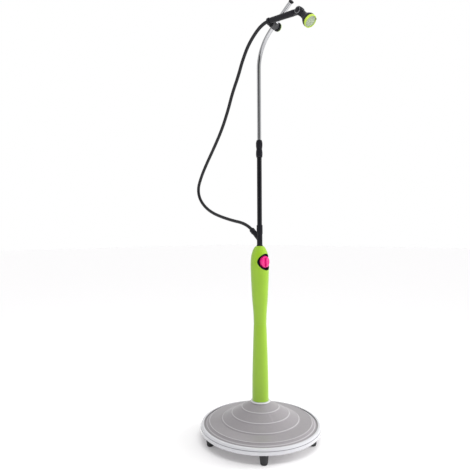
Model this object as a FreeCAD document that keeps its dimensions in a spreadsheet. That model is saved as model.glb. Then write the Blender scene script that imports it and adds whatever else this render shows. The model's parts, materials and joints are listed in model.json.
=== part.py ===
# Free-standing garden shower: round ballast base on five feet, two-piece column with a valve knob,
# telescopic mast bent forward at the top, and a hand shower held by a clamp that slides on the mast.
# Millimetres. Origin on the floor at the column's axis, +Z up, +X towards the knob and the spray.
import FreeCAD, Part
import math
import os
import re
import Sketcher

doc = FreeCAD.newDocument("garden_shower")
sheet = doc.addObject("Spreadsheet::Sheet", "Sizes")

SIZES = {
    # base and feet
    "baseRadius": 281.5, "baseWall": 4, "footHeight": 54.4, "panThickness": 4, "rimDepth": 27.2,
    "rimWidth": 18, "rimGroove": 17.5,
    "footCount": 5, "footCircle": 244, "footTopRadius": 22.5, "footTipRadius": 16,
    "screwRadius": 2.5, "boltRadius": 3, "boltCircle": 50, "boltCount": 4,
    "ringOneRadius": 88, "ringOneLevel": 150, "ringTwoRadius": 135, "ringTwoLevel": 122.7,
    "ringThreeRadius": 180, "ringThreeLevel": 98.5, "ringFourRadius": 240, "ringFourLevel": 88,
    "ringStep": 4, "neckLevel": 176, "neckRadius": 47,
    "plugCircle": 210, "plugRadius": 17,
    # column
    "columnFoot": 181, "columnSeam": 538, "columnWall": 3, "columnFootRadius": 38.5,
    "waistRadius": 29.7, "shoulderRadius": 43.2, "columnTop": 903, "topHoleRadius": 14,
    "socketRadius": 33.2, "socketTop": 300, "sleeveLength": 76,
    # water way and valve
    "pipeRadius": 6, "pipeBore": 4.5, "valveLevel": 829, "valveRadius": 13, "valveHalfHeight": 43,
    "spindleRadius": 5, "plugValveRadius": 8, "recessRadius": 39, "recessFloor": 17,
    "knobRadius": 28, "knobBack": 23, "knobFace": 40, "knobBarFront": 47, "knobBarWidth": 12,
    "inletLevel": 30, "elbowRadius": 10, "nippleRadius": 8, "nippleLength": 34,
    # branch fitting and hose
    "stemRadius": 13, "branchLevel": 930, "branchRadius": 10.5, "branchLength": 60,
    "hoseRadius": 8, "mastSocketLevel": 963, "fittingTop": 1002,
    # mast
    "outerTubeRadius": 11.4, "tubeGap": 0.5, "outerTubeTop": 1345, "lockLevel": 1318,
    "lockHeight": 82, "lockRadius": 15.5, "innerTubeRadius": 9.5, "innerTubeWall": 1,
    "innerTubeFoot": 1250, "bendLevel": 1735.6, "bendRadius": 200, "bendAngle": 53,
    "tipLength": 135.8,
    # slider, holder and hand shower
    "sliderOffset": 20, "sliderLength": 30, "sliderRadius": 15.5, "clampSide": 17,
    "clampKnobRadius": 20, "holderRadius": 17.5, "holderRise": 10,
    "handsetSide": 38, "handsetStart": 106.6, "handsetLevel": 1913.4, "handsetTilt": 5,
    "handleLength": 160, "handleRadius": 13, "tailNutRadius": 11, "tailNutLength": 17,
    "hubRadius": 17, "pivotCapRadius": 11.4,
    "hubWidth": 16, "headTilt": 48.3, "headLength": 87, "headRadius": 28.5, "faceRadius": 28,
    # fits
    "clearance": 0.3, "runningFit": 0.05,
}
for row, (alias, number) in enumerate(SIZES.items(), start=1):
    sheet.set(f"A{row}", alias)
    sheet.set(f"B{row}", str(number))
    sheet.setAlias(f"B{row}", alias)
doc.recompute()

subParts = []


def bind(expression):
    """Turns sheet words in an expression into references to the sheet's cells."""
    return re.sub(r"[A-Za-z]+", lambda word: "Sizes." + word.group() if word.group() in SIZES
                  else word.group(), str(expression))


def size(expression):
    """The value of an expression of sheet words."""
    return float(sheet.evalExpression(bind(expression)))


def point(x, y, z):
    return FreeCAD.Vector(size(x), size(y), size(z))


def placed(at=(0, 0, 0), towards=(0, 0, 1)):
    """A placement at a point given by expressions, with local Z turned towards a direction."""
    turn = FreeCAD.Rotation(FreeCAD.Vector(0, 0, 1), FreeCAD.Vector(*towards))
    return FreeCAD.Placement(point(*at), turn)


def keep(piece, label):
    """Marks an object as a sub-part under its own name."""
    piece.Label = label
    subParts.append(piece)
    return piece


def primitive(kind, sizes, place=None):
    piece = doc.addObject("Part::" + kind, kind.lower())
    for name, expression in sizes.items():
        piece.setExpression(name, bind(expression))
    if place:
        piece.Placement = place
    return piece


def cylinder(radius, height, at=(0, 0, 0), towards=(0, 0, 1)):
    return primitive("Cylinder", {"Radius": radius, "Height": height}, placed(at, towards))


def box(length, width, height, at):
    """A box centred on at in X and Y, standing on it in Z."""
    corner = (f"{at[0]} - ({length}) / 2", f"{at[1]} - ({width}) / 2", at[2])
    return primitive("Box", {"Length": length, "Width": width, "Height": height}, placed(corner))


def sphere(radius, at):
    return primitive("Sphere", {"Radius": radius}, placed(at))


def fused(pieces, name="fused"):
    piece = doc.addObject("Part::MultiFuse", name)
    piece.Shapes = pieces
    return piece


def cut(base, tools, name="cut"):
    piece = doc.addObject("Part::Cut", name)
    piece.Base = base
    piece.Tool = tools[0] if len(tools) == 1 else fused(tools)
    return piece


def grouped(pieces, name="group"):
    piece = doc.addObject("Part::Compound", name)
    piece.Links = pieces
    return piece


def originPlane(body, role):
    return [item for item in body.Origin.OriginFeatures if item.Role == role][0]


def lathe(profile, name="turned", place=None):
    """A body turned about its own Z from a closed outline of (radius, height) expressions."""
    body = doc.addObject("PartDesign::Body", name)
    sketch = body.newObject("Sketcher::SketchObject", name + "_outline")
    sketch.AttachmentSupport = [(originPlane(body, "XZ_Plane"), "")]
    sketch.MapMode = "FlatFace"
    corners = [FreeCAD.Vector(size(r), size(z), 0) for r, z in profile]
    count = len(corners)
    for index in range(count):
        sketch.addGeometry(Part.LineSegment(corners[index], corners[(index + 1) % count]), False)
    for index in range(count):
        sketch.addConstraint(Sketcher.Constraint("Coincident", index, 2, (index + 1) % count, 1))
    for index, (radius, height) in enumerate(profile):
        for axis, expression, value in (("DistanceX", radius, corners[index].x),
                                        ("DistanceY", height, corners[index].y)):
            number = sketch.addConstraint(Sketcher.Constraint(axis, -1, 1, index, 1, value))
            sketch.setExpression(f"Constraints[{number}]", bind(expression))
    turned = body.newObject("PartDesign::Revolution", name + "_turned")
    turned.Profile = sketch
    turned.ReferenceAxis = (sketch, ["V_Axis"])
    turned.Angle = 360
    body.Tip = turned
    if place:
        body.Placement = place
    return body


def spunForm(stations, name):
    """A solid of revolution whose outline is a smooth curve through (height, radius) stations."""
    corners = [FreeCAD.Vector(size(radius), 0, size(height)) for height, radius in stations]
    curve = Part.BSplineCurve()
    curve.interpolate(corners)
    low, high = FreeCAD.Vector(0, 0, corners[0].z), FreeCAD.Vector(0, 0, corners[-1].z)
    outline = Part.Wire([Part.LineSegment(low, corners[0]).toShape(), curve.toShape(),
                         Part.LineSegment(corners[-1], high).toShape(), Part.LineSegment(high, low).toShape()])
    face = doc.addObject("Part::Feature", name + "_outline")
    face.Shape = Part.Face(outline)
    form = doc.addObject("Part::Revolution", name)
    form.Source = face
    form.Axis = FreeCAD.Vector(0, 0, 1)
    form.Base = FreeCAD.Vector(0, 0, 0)
    form.Angle = 360
    form.Solid = True
    return form


def around(count, circle, first=0.0):
    """Angles and XY places of pieces spaced evenly on a circle, as numbers."""
    places = []
    for number in range(int(size(count))):
        angle = math.radians(first + 360.0 * number / int(size(count)))
        places.append((size(circle) * math.cos(angle), size(circle) * math.sin(angle)))
    return places


# ---- base -------------------------------------------------------------------------------------
FRONT_FOOT_ANGLE = -45.0                     # one foot stands at the front right
INLET_ANGLE = FRONT_FOOT_ANGLE + 180.0       # the supply leaves between the two rear feet
INLET_WAY = (math.cos(math.radians(INLET_ANGLE)), math.sin(math.radians(INLET_ANGLE)), 0)
PAN_TOP = "footHeight + panThickness"
BRIM = "footHeight - 2.4 + rimDepth"         # top of the rim band
COVER_EDGE = "baseRadius - 8"


def makeBaseCover():
    """Terraced cone of even wall, with a skirt that stands on the pan."""
    bore = "socketRadius + clearance * 2"
    outer = [("neckRadius", "neckLevel - 4"), ("ringOneRadius", "ringOneLevel"),
             ("ringOneRadius + ringStep", "ringOneLevel - ringStep"),
             ("ringTwoRadius", "ringTwoLevel"),
             ("ringTwoRadius + ringStep", "ringTwoLevel - ringStep"),
             ("ringThreeRadius", "ringThreeLevel"),
             ("ringThreeRadius + ringStep", "ringThreeLevel - 3.5"),
             ("ringFourRadius", "ringFourLevel"),
             ("ringFourRadius + ringStep", "ringFourLevel - 3.5"),
             ("baseRadius - 20", f"{BRIM} - 4"), ("baseRadius - 16", f"{BRIM} - 4")]
    inner = [(radius, f"{height} - baseWall") for radius, height in outer]
    profile = [(bore, "neckLevel"), ("neckRadius", "neckLevel")] + outer
    profile += [(COVER_EDGE, f"{BRIM} - 4"), (COVER_EDGE, PAN_TOP)]
    profile += [(f"{COVER_EDGE} - baseWall", PAN_TOP)]
    profile += [(f"{COVER_EDGE} - baseWall", f"{BRIM} - 4 - baseWall")]
    profile += list(reversed(inner))[1:]
    profile += [(bore, "neckLevel - 4 - baseWall")]
    cover = lathe(profile, "cover")
    plugHole = cylinder("plugRadius + clearance", 60, plugPlace("footHeight + 15"))
    keep(cut(cover, [plugHole]), "base_cover")


def plugPlace(height):
    return (size("plugCircle") * INLET_WAY[0], size("plugCircle") * INLET_WAY[1], height)


def makeBaseRim():
    """Band that grips the cover's skirt and the pan's edge."""
    low = "footHeight - 2.4"
    inside = f"{COVER_EDGE} + clearance"
    groove = f"{low} + rimGroove"
    keep(lathe([("baseRadius - 14", low), ("baseRadius - 3", low), ("baseRadius", f"{low} + 3"),
                ("baseRadius - 0.8", f"{groove} - 1.5"), ("baseRadius - 2.4", groove),
                ("baseRadius - 1.8", f"{groove} + 1.5"), ("baseRadius - 3", f"{BRIM} - 6"),
                ("baseRadius - 6.5", f"{BRIM} - 1.5"), ("baseRadius - 10", BRIM),
                ("baseRadius - rimWidth + 2", BRIM), ("baseRadius - rimWidth", f"{BRIM} - 1.4"),
                ("baseRadius - rimWidth", f"{BRIM} - 3.8"), (inside, f"{BRIM} - 3.8"),
                (inside, "footHeight - 0.2"), ("baseRadius - 14", "footHeight - 0.2")], "rim"), "base_rim")


def makeBasePan():
    plate = cylinder(COVER_EDGE, "panThickness", (0, 0, "footHeight"))
    holes = [cylinder("elbowRadius + 1", "panThickness * 3", (0, 0, "footHeight - 2"))]
    for x, y in around("footCount", "footCircle", FRONT_FOOT_ANGLE):
        holes.append(cylinder("screwRadius + clearance", "panThickness * 3",
                              (x, y, "footHeight - 2")))
    for x, y in around("boltCount", "boltCircle"):
        holes.append(cylinder("boltRadius + clearance", "panThickness * 3",
                              (x, y, "footHeight - 2")))
    keep(cut(plate, holes), "base_pan")


def makeNeckRing():
    bore = "socketRadius + clearance * 2"
    keep(lathe([(bore, "neckLevel"), ("neckRadius - 0.5", "neckLevel"),
                ("neckRadius - 0.8", "neckLevel + 2"), ("neckRadius - 3.5", "columnFoot"),
                (bore, "columnFoot")], "neck_ring_turned"), "neck_ring")


def makeBallastPlug():
    """Quarter-turn plug for filling the base, with a rubber seal under its rim."""
    seat = "ringThreeLevel - 3"
    place = placed(plugPlace(seat))
    plug = lathe([(0, -14), ("plugRadius - 2", -14), ("plugRadius - 2", -2), ("plugRadius - 0.6", -2),
                  ("plugRadius - 0.6", 1.2), ("plugRadius + 3", 1.2), ("plugRadius + 3", 3),
                  ("plugRadius + 1.5", 4.4), (0, 4.4)], "plug_turned")
    slot = box("plugRadius * 1.5", 3, 4, (0, 0, 2.2))
    plug = cut(plug, [slot])
    plug.Placement = place
    keep(plug, "ballast_plug")
    seal = lathe([("plugRadius + 0.6", -0.3), ("plugRadius + 2.6", -0.3), ("plugRadius + 2.6", 1),
                  ("plugRadius + 0.6", 1)], "plug_seal_turned", place)
    keep(seal, "ballast_plug_seal")


def makeFeet():
    """Tapered feet with a rounded tip, each held by a screw from inside the pan."""
    hole = "screwRadius + 0.15"
    profile = [(0, 0), ("footTipRadius - 5", 0), ("footTipRadius - 1.6", 2), ("footTipRadius", 6),
               ("footTopRadius", "footHeight"), (hole, "footHeight"), (hole, "footHeight - 25"),
               (0, "footHeight - 25")]
    screws = []
    for number, (x, y) in enumerate(around("footCount", "footCircle", FRONT_FOOT_ANGLE), start=1):
        keep(lathe(profile, f"foot_turned_{number}", placed((x, y, 0))), f"foot_{number}")
        screws.append(headedScrew("screwRadius", 24, "screwRadius * 2.2", 3,
                                  (x, y, PAN_TOP), f"foot_screw_{number}"))
    keep(grouped(screws), "foot_screws")


def headedScrew(radius, length, headRadius, headHeight, at, name, towards=(0, 0, 1)):
    """A screw whose head's underside is at the given point, with its shank behind it."""
    return lathe([(0, f"-({length})"), (radius, f"-({length})"), (radius, 0), (headRadius, 0),
                  (headRadius, f"{headHeight} * 0.7"), (f"{headRadius} * 0.8", headHeight),
                  (0, headHeight)], name, placed(at, towards))


# ---- column -----------------------------------------------------------------------------------
COLUMN_STATIONS = [("columnFoot", "columnFootRadius"), ("columnFoot + 103", "columnFootRadius - 0.8"),
                   ("columnFoot + 186", "columnFootRadius - 2.8"), ("columnSeam - 87", "waistRadius + 3.3"),
                   ("columnSeam", "waistRadius")]
UPPER_STATIONS = [("columnSeam", "waistRadius"), ("columnSeam + 52", "waistRadius + 1.8"),
                  ("columnSeam + 107", "waistRadius + 6.3"), ("valveLevel - 128", "shoulderRadius - 4"),
                  ("valveLevel - 60", "shoulderRadius - 1"), ("valveLevel - 10", "shoulderRadius"),
                  ("columnTop - 48", "shoulderRadius - 3"), ("columnTop - 30", "shoulderRadius - 7.4"),
                  ("columnTop - 14", "shoulderRadius - 13.8"), ("columnTop - 4", "shoulderRadius - 20.6"),
                  ("columnTop", "shoulderRadius - 26.4")]


def thinner(stations, top=0):
    """The same stations one wall further in, the last one lowered by top."""
    inner = [(height, f"{radius} - columnWall") for height, radius in stations]
    if top:
        inner = inner[:-2] + [(f"{inner[-1][0]} - {top}", inner[-2][1])]
    return inner


def makeColumn():
    lower = cut(spunForm(COLUMN_STATIONS, "lower_form"), [spunForm(thinner(COLUMN_STATIONS), "lower_hollow")])
    keep(lower, "column_lower")
    upperForm = spunForm(UPPER_STATIONS, "upper_form")
    hollow = spunForm(thinner(UPPER_STATIONS, "columnWall"), "upper_hollow")
    opening = cylinder("recessRadius", "shoulderRadius * 2", ("recessFloor - 3.5", 0, "valveLevel"), (1, 0, 0))
    topHole = cylinder("topHoleRadius", 30, (0, 0, "columnTop - 20"))
    keep(cut(upperForm, [hollow, opening, topHole]), "column_upper")
    return upperForm


def makeColumnInside(upperForm):
    """Socket on the pan, joint sleeve at the seam, and the dark cup that lines the knob's opening."""
    socket = lathe([("socketRadius - 4", PAN_TOP), ("boltCircle + 12", PAN_TOP),
                    ("boltCircle + 12", f"{PAN_TOP} + 4"), ("socketRadius + 3", f"{PAN_TOP} + 4"),
                    ("socketRadius", f"{PAN_TOP} + 9"), ("socketRadius", "socketTop - 2"),
                    ("socketRadius - 2", "socketTop"), ("socketRadius - 4", "socketTop")], "socket_turned")
    holes, bolts = [], []
    for number, (x, y) in enumerate(around("boltCount", "boltCircle"), start=1):
        holes.append(cylinder("boltRadius + clearance", 12, (x, y, f"{PAN_TOP} - 2")))
        bolts.append(headedScrew("boltRadius", "panThickness + 4", "boltRadius * 1.9", 4,
                                 (x, y, f"{PAN_TOP} + 4"), f"socket_bolt_{number}"))
    keep(cut(socket, holes), "column_socket")
    keep(grouped(bolts), "socket_bolts")
    sleeve = "waistRadius - columnWall - clearance"
    keep(lathe([(f"{sleeve} - 3", "columnSeam - sleeveLength / 2"), (sleeve, "columnSeam - sleeveLength / 2"),
                (sleeve, "columnSeam + sleeveLength / 2"), (f"{sleeve} - 3", "columnSeam + sleeveLength / 2")],
               "sleeve_turned"), "column_joint_sleeve")
    blank = cylinder("recessRadius - 0.2", "shoulderRadius * 2", ("recessFloor - 3", 0, "valveLevel"), (1, 0, 0))
    common = doc.addObject("Part::MultiCommon", "recess_blank")
    common.Shapes = [blank, upperForm]
    well = cylinder("recessRadius - 2.4", "shoulderRadius * 2", ("recessFloor", 0, "valveLevel"), (1, 0, 0))
    throat = cylinder("spindleRadius + 6.5", 20, ("recessFloor - 10", 0, "valveLevel"), (1, 0, 0))
    keep(cut(common, [well, throat]), "knob_recess")


# ---- water way and valve ----------------------------------------------------------------------
def makeInlet():
    """Elbow under the pan, with a hose-connector nipple that points out between the feet."""
    run = 46
    solid = fused([cylinder("elbowRadius", f"{PAN_TOP} + 6 - inletLevel", (0, 0, "inletLevel")),
                   sphere("elbowRadius", (0, 0, "inletLevel")),
                   cylinder("elbowRadius * 2", 3.5, (0, 0, "footHeight - 3.5")),
                   cylinder("elbowRadius", run, (0, 0, "inletLevel"), INLET_WAY)])
    bores = [cylinder("pipeBore", 60, (0, 0, "inletLevel")), sphere("pipeBore", (0, 0, "inletLevel")),
             cylinder("pipeBore", run * 2, (0, 0, "inletLevel"), INLET_WAY),
             cylinder("pipeRadius + runningFit", 20, (0, 0, PAN_TOP))]
    keep(cut(solid, bores), "inlet_elbow")
    start = (run * INLET_WAY[0], run * INLET_WAY[1], "inletLevel")
    nipple = [("pipeBore", 0), ("elbowRadius + 2", 0), ("elbowRadius + 2", 8), ("nippleRadius", 8),
              ("nippleRadius", 15), ("nippleRadius - 2", 15), ("nippleRadius - 2", 18.2),
              ("nippleRadius", 18.2), ("nippleRadius", "nippleLength - 1.5"),
              ("nippleRadius - 1.5", "nippleLength"), ("pipeBore", "nippleLength")]
    keep(lathe(nipple, "nipple_turned", placed(start, INLET_WAY)), "inlet_nipple")
    ring = [("nippleRadius - 2", 15.1), ("nippleRadius + 0.6", 15.1), ("nippleRadius + 1", 16.6),
            ("nippleRadius + 0.6", 18), ("nippleRadius - 2", 18)]
    keep(lathe(ring, "inlet_seal_turned", placed(start, INLET_WAY)), "inlet_seal")


def pipe(low, high, name):
    return lathe([("pipeBore", low), ("pipeRadius", low), ("pipeRadius", high), ("pipeBore", high)], name)


VALVE_FOOT = "valveLevel - valveHalfHeight"
VALVE_HEAD = "valveLevel + valveHalfHeight"
BOSS_FACE = "recessFloor - 4"


def makeValve():
    """Plug valve: the spindle's ported plug turns in the body's cross bore."""
    keep(pipe(PAN_TOP, f"{VALVE_FOOT} + 14", "riser_turned"), "riser_tube")
    body = fused([cylinder("valveRadius", "valveHalfHeight * 2", (0, 0, VALVE_FOOT)),
                  cylinder("spindleRadius + 6", BOSS_FACE, (0, 0, "valveLevel"), (1, 0, 0))])
    bores = [cylinder("pipeBore", "valveHalfHeight * 2", (0, 0, VALVE_FOOT)),
             cylinder("pipeRadius + runningFit", 14, (0, 0, VALVE_FOOT)),
             cylinder("pipeRadius + runningFit", 14, (0, 0, f"{VALVE_HEAD} - 14")),
             cylinder("plugValveRadius + runningFit", 40, (-8, 0, "valveLevel"), (1, 0, 0))]
    keep(cut(body, bores), "valve_body")
    axis = placed((0, 0, "valveLevel"), (1, 0, 0))
    spindle = lathe([(0, -7.7), ("plugValveRadius", -7.7), ("plugValveRadius", 8), ("spindleRadius", 8),
                     ("spindleRadius", "knobFace - 4"), (1.65, "knobFace - 4"), (1.65, "knobFace - 16"),
                     (0, "knobFace - 16")], "spindle_turned", axis)
    port = cylinder("pipeBore", 40, (0, 0, "valveLevel - 20"))
    keep(cut(spindle, [port]), "valve_spindle")
    bore = "spindleRadius + runningFit"
    keep(lathe([(bore, 8.4), ("plugValveRadius - 0.2", 8.4), ("plugValveRadius - 0.2", BOSS_FACE),
                (bore, BOSS_FACE)], "spindle_seal_turned", axis), "spindle_seal")
    keep(lathe([(bore, BOSS_FACE), ("spindleRadius + 6", BOSS_FACE), ("spindleRadius + 6", "recessFloor + 3.5"),
                ("spindleRadius + 5", "recessFloor + 4.5"), (bore, "recessFloor + 4.5")],
               "spindle_nut_turned", axis), "spindle_nut")
    keep(pipe(f"{VALVE_HEAD} - 14", "columnTop + 13", "outlet_turned"), "outlet_pipe")


def makeKnob():
    """Round knob with an upright grip bar, a screw down its middle and a cap over the screw."""
    axis = placed((0, 0, "valveLevel"), (1, 0, 0))
    disc = lathe([("spindleRadius + 0.02", "knobBack"), ("knobRadius - 1.5", "knobBack"),
                  ("knobRadius", "knobBack + 2"), ("knobRadius", "knobFace - 5"),
                  ("knobRadius - 2", "knobFace - 1.6"), ("knobRadius - 6", "knobFace"), (1.7, "knobFace"),
                  (1.7, "knobFace - 3.9"), ("spindleRadius + 0.02", "knobFace - 3.9")], "knob_disc", axis)
    bar = box("knobBarFront - knobFace + 2", "knobBarWidth", "knobRadius * 2 - 7",
              ("(knobBarFront + knobFace - 2) / 2", 0, "valveLevel - knobRadius + 3.5"))
    rounded = doc.addObject("Part::Fillet", "knob_bar")
    rounded.Base = bar
    doc.recompute()
    front = [number for number, edge in enumerate(bar.Shape.Edges, start=1)
             if edge.BoundBox.XMin > size("knobBarFront") - 0.01]
    rounded.Edges = [(number, 2.5, 2.5) for number in front]
    well = cylinder(4.2, 20, ("knobFace + 0.4", 0, "valveLevel"), (1, 0, 0))
    shank = cylinder(1.7, 20, ("knobFace - 3", 0, "valveLevel"), (1, 0, 0))
    keep(cut(fused([disc, rounded]), [well, shank]), "valve_knob")
    keep(headedScrew(1.5, 13, 3, 2.4, ("knobFace + 0.4", 0, "valveLevel"), "knob_screw_turned", (1, 0, 0)),
         "knob_screw")
    keep(lathe([(0, "knobBarFront - 4"), (4, "knobBarFront - 4"), (4, "knobBarFront - 0.8"),
                (3.2, "knobBarFront"), (0, "knobBarFront")], "knob_cap_turned", axis), "knob_cap")


# ---- branch fitting and hose ------------------------------------------------------------------
BRANCH_WAY = (-math.sqrt(0.5), 0, math.sqrt(0.5))


def alongBranch(distance):
    """Point on the branch's axis, measured from where it leaves the stem's axis."""
    run = size(distance) * math.sqrt(0.5)
    return (-run, 0, size("branchLevel") + run)


def makeBranchFitting():
    """Y fitting on top of the column: mast socket above, hose branch to the rear."""
    stem = lathe([(0, "columnTop - 6"), ("topHoleRadius - 0.6", "columnTop - 6"),
                  ("topHoleRadius - 0.6", "columnTop"), ("stemRadius + 1.4", "columnTop + 0.4"),
                  ("stemRadius + 1.4", "columnTop + 4"), ("stemRadius", "columnTop + 6"),
                  ("stemRadius", "mastSocketLevel - 5"), ("stemRadius + 1.2", "mastSocketLevel - 3"),
                  ("stemRadius + 1.2", "fittingTop - 3"), ("stemRadius + 0.2", "fittingTop"),
                  (0, "fittingTop")], "stem_turned")
    web = box(16, 5, 17, ("-stemRadius - 5", 0, "branchLevel + 25"))
    solid = fused([stem, cylinder("branchRadius", "branchLength", alongBranch(0), BRANCH_WAY), web])
    bores = [cylinder("pipeRadius + runningFit", 20, (0, 0, "columnTop - 7")),
             cylinder("pipeBore", "branchLevel - columnTop", (0, 0, "columnTop")),
             sphere("pipeBore", (0, 0, "branchLevel")),
             cylinder("pipeBore", "branchLength * 2", alongBranch(0), BRANCH_WAY),
             cylinder("outerTubeRadius + runningFit", 60, (0, 0, "mastSocketLevel"))]
    keep(cut(solid, bores), "branch_fitting")
    place = FreeCAD.Placement(FreeCAD.Vector(*alongBranch("branchLength")), placed((0, 0, 0), BRANCH_WAY).Rotation)
    keep(lathe([("pipeBore", 0), ("hoseRadius", 0), ("hoseRadius", 2), ("pipeBore", 2)],
               "washer_turned", place), "hose_washer")
    wide, narrow = "branchRadius + 0.1", "hoseRadius + 0.1"
    keep(lathe([(wide, -10), ("stemRadius - 1", -10), ("stemRadius", -8), ("stemRadius", 10),
                ("stemRadius - 2", 14), (narrow, 14), (narrow, 2.4), (wide, 2.4)],
               "ferrule_turned", place), "branch_ferrule")


# Route of the hose's middle line, from the branch to the hand shower's tail. The first point and
# the first run follow the branch, and the last run follows the handle.
HOSE_ROUTE = [(-43.86, 0, 973.86), (-77.86, 0, 1007.86), (-209.7, -1, 1032.6), (-342.9, -3, 1074.6),
              (-417.6, -6, 1135), (-437.2, -8, 1198.4), (-408.9, -10, 1259.6), (-360.3, -12, 1328.4),
              (-298, -15, 1403.7), (-235.5, -19, 1484.7), (-186.8, -23, 1569.6), (-149.3, -27, 1650.6),
              (-106, -31, 1718.5), (-71.5, -35, 1787.4), (-23.3, -37.8, 1857.8), (56.8, -38, 1917.8),
              (95.6, -38, 1914.4)]


def makeHose():
    """Tube along straight runs joined by tangent arcs, each as large as its two runs allow."""
    points = [FreeCAD.Vector(*spot) for spot in HOSE_ROUTE]
    edges, radii, last = [], [], points[0]
    for before, corner, after in zip(points, points[1:], points[2:]):
        back, ahead = before - corner, after - corner
        turn = math.pi - back.getAngle(ahead)
        reach = 0.45 * min(back.Length, ahead.Length)
        radii.append(reach / math.tan(turn / 2))
        start = corner + back.normalize() * reach
        finish = corner + ahead.normalize() * reach
        bisector = (back + ahead).normalize()
        middle = corner + bisector * (radii[-1] / math.cos(turn / 2) - radii[-1])
        edges += [Part.LineSegment(last, start).toShape(), Part.Arc(start, middle, finish).toShape()]
        last = finish
    edges.append(Part.LineSegment(last, points[-1]).toShape())
    path = Part.Wire(edges)
    circle = Part.Circle(points[0], points[1] - points[0], size("hoseRadius")).toShape()
    hose = doc.addObject("Part::Feature", "hose_tube")
    hose.Shape = path.makePipeShell([Part.Wire([circle])], True, True)
    hose.Placement = FreeCAD.Placement()
    keep(hose, "hose")
    section = math.pi * size("hoseRadius") ** 2
    print("hose length", round(path.Length, 1), "volume ratio", round(hose.Shape.Volume / section / path.Length, 4))
    print("hose arc radii", [round(radius) for radius in radii])


# ---- mast -------------------------------------------------------------------------------------
TUBE_BORE = "innerTubeRadius - innerTubeWall"
SHAFT = "innerTubeRadius + tubeGap"          # bore of the outer tube


def makeMast():
    """Outer tube, twist lock and the bent inner tube that slides in it."""
    keep(lathe([(SHAFT, "mastSocketLevel"), ("outerTubeRadius", "mastSocketLevel"),
                ("outerTubeRadius", "outerTubeTop"), (SHAFT, "outerTubeTop")], "outer_tube_turned"), "mast_outer_tube")
    half, top = "lockLevel + lockHeight / 2", "lockLevel + lockHeight"
    bore, spigot = "outerTubeRadius + runningFit", "outerTubeRadius + 1.5"
    keep(lathe([(bore, "lockLevel"), ("lockRadius - 2.6", "lockLevel"), ("lockRadius - 0.6", "lockLevel + 6"),
                ("lockRadius", "lockLevel + 16"), ("lockRadius", "lockLevel + 24"),
                ("lockRadius - 1", "lockLevel + 32"), ("lockRadius - 2.2", f"{half} - 1"),
                (spigot, f"{half} - 1"), (spigot, f"{half} + 22"), (f"{spigot} - 1.5", f"{half} + 22"),
                (f"{spigot} - 1.5", "outerTubeTop + 0.5"), (bore, "outerTubeTop + 0.5")],
               "lock_body_turned"), "lock_body")
    inside, throat = f"{spigot} + clearance", "innerTubeRadius + clearance"
    keep(lathe([(inside, half), ("lockRadius - 2.2", half), ("lockRadius - 0.8", f"{half} + 7"),
                ("lockRadius", f"{half} + 16"), ("lockRadius", f"{half} + 26"), ("lockRadius - 1.4", f"{top} - 7"),
                ("lockRadius - 3.6", top), (throat, top), (throat, f"{half} + 25"), (inside, f"{half} + 25")],
               "lock_nut_turned"), "lock_nut")
    grip = "innerTubeRadius + runningFit"
    keep(lathe([(grip, "outerTubeTop + 1"), (f"{spigot} - 1.7", "outerTubeTop + 1"),
                (f"{spigot} - 1.7", f"{half} + 23"), (grip, f"{half} + 23")], "collet_turned"), "lock_collet")
    makeInnerTube()
    slides = f"{SHAFT} - runningFit"
    keep(lathe([(0, -9), (f"{slides} - 1", -9), (slides, -8), (slides, -1), ("innerTubeRadius", -0.2),
                (f"{TUBE_BORE} - 0.1", -0.2), (f"{TUBE_BORE} - 0.1", 18), (f"{TUBE_BORE} - 2", 18),
                (f"{TUBE_BORE} - 2", -5), (0, -5)], "bush_turned", placed((0, 0, "innerTubeFoot"))), "mast_guide_bush")
    tip = FreeCAD.Placement(onTip("tipLength"), tipTurn())
    keep(lathe([(0, 0.1), (0, -12), (f"{TUBE_BORE} - 0.1", -12), (f"{TUBE_BORE} - 0.1", 0.1),
                ("innerTubeRadius + 0.4", 0.1), ("innerTubeRadius + 0.8", 2), ("innerTubeRadius + 2.6", 7),
                ("innerTubeRadius + 2.6", 9), ("innerTubeRadius + 1.2", 10.4), (0, 10.4)],
               "tip_cap_turned", tip), "mast_end_cap")


def tipTurn():
    return FreeCAD.Rotation(FreeCAD.Vector(0, 1, 0), size("bendAngle"))


def onTip(distance):
    """Point on the inclined end of the inner tube, measured from the end of the bend."""
    turn = math.radians(size("bendAngle"))
    run = size(distance)
    return FreeCAD.Vector(size("bendRadius") * (1 - math.cos(turn)) + run * math.sin(turn), 0,
                          size("bendLevel") + size("bendRadius") * math.sin(turn) + run * math.cos(turn))


def makeInnerTube():
    """Straight run, bend and inclined end, swept as one tube."""
    turn = math.radians(size("bendAngle"))
    foot = FreeCAD.Vector(0, 0, size("innerTubeFoot"))
    low = FreeCAD.Vector(0, 0, size("bendLevel"))
    bendRadius = size("bendRadius")
    middle = low + FreeCAD.Vector(bendRadius * (1 - math.cos(turn / 2)), 0, bendRadius * math.sin(turn / 2))
    path = Part.Wire([Part.LineSegment(foot, low).toShape(), Part.Arc(low, middle, onTip(0)).toShape(),
                      Part.LineSegment(onTip(0), onTip("tipLength")).toShape()])
    solids = []
    for radius in ("innerTubeRadius", TUBE_BORE):
        circle = Part.Circle(foot, FreeCAD.Vector(0, 0, 1), size(radius)).toShape()
        solids.append(path.makePipeShell([Part.Wire([circle])], True, True))
    tube = doc.addObject("Part::Feature", "inner_tube")
    tube.Shape = solids[0].cut(solids[1])
    tube.Placement = FreeCAD.Placement()
    keep(tube, "mast_inner_tube")


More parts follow.
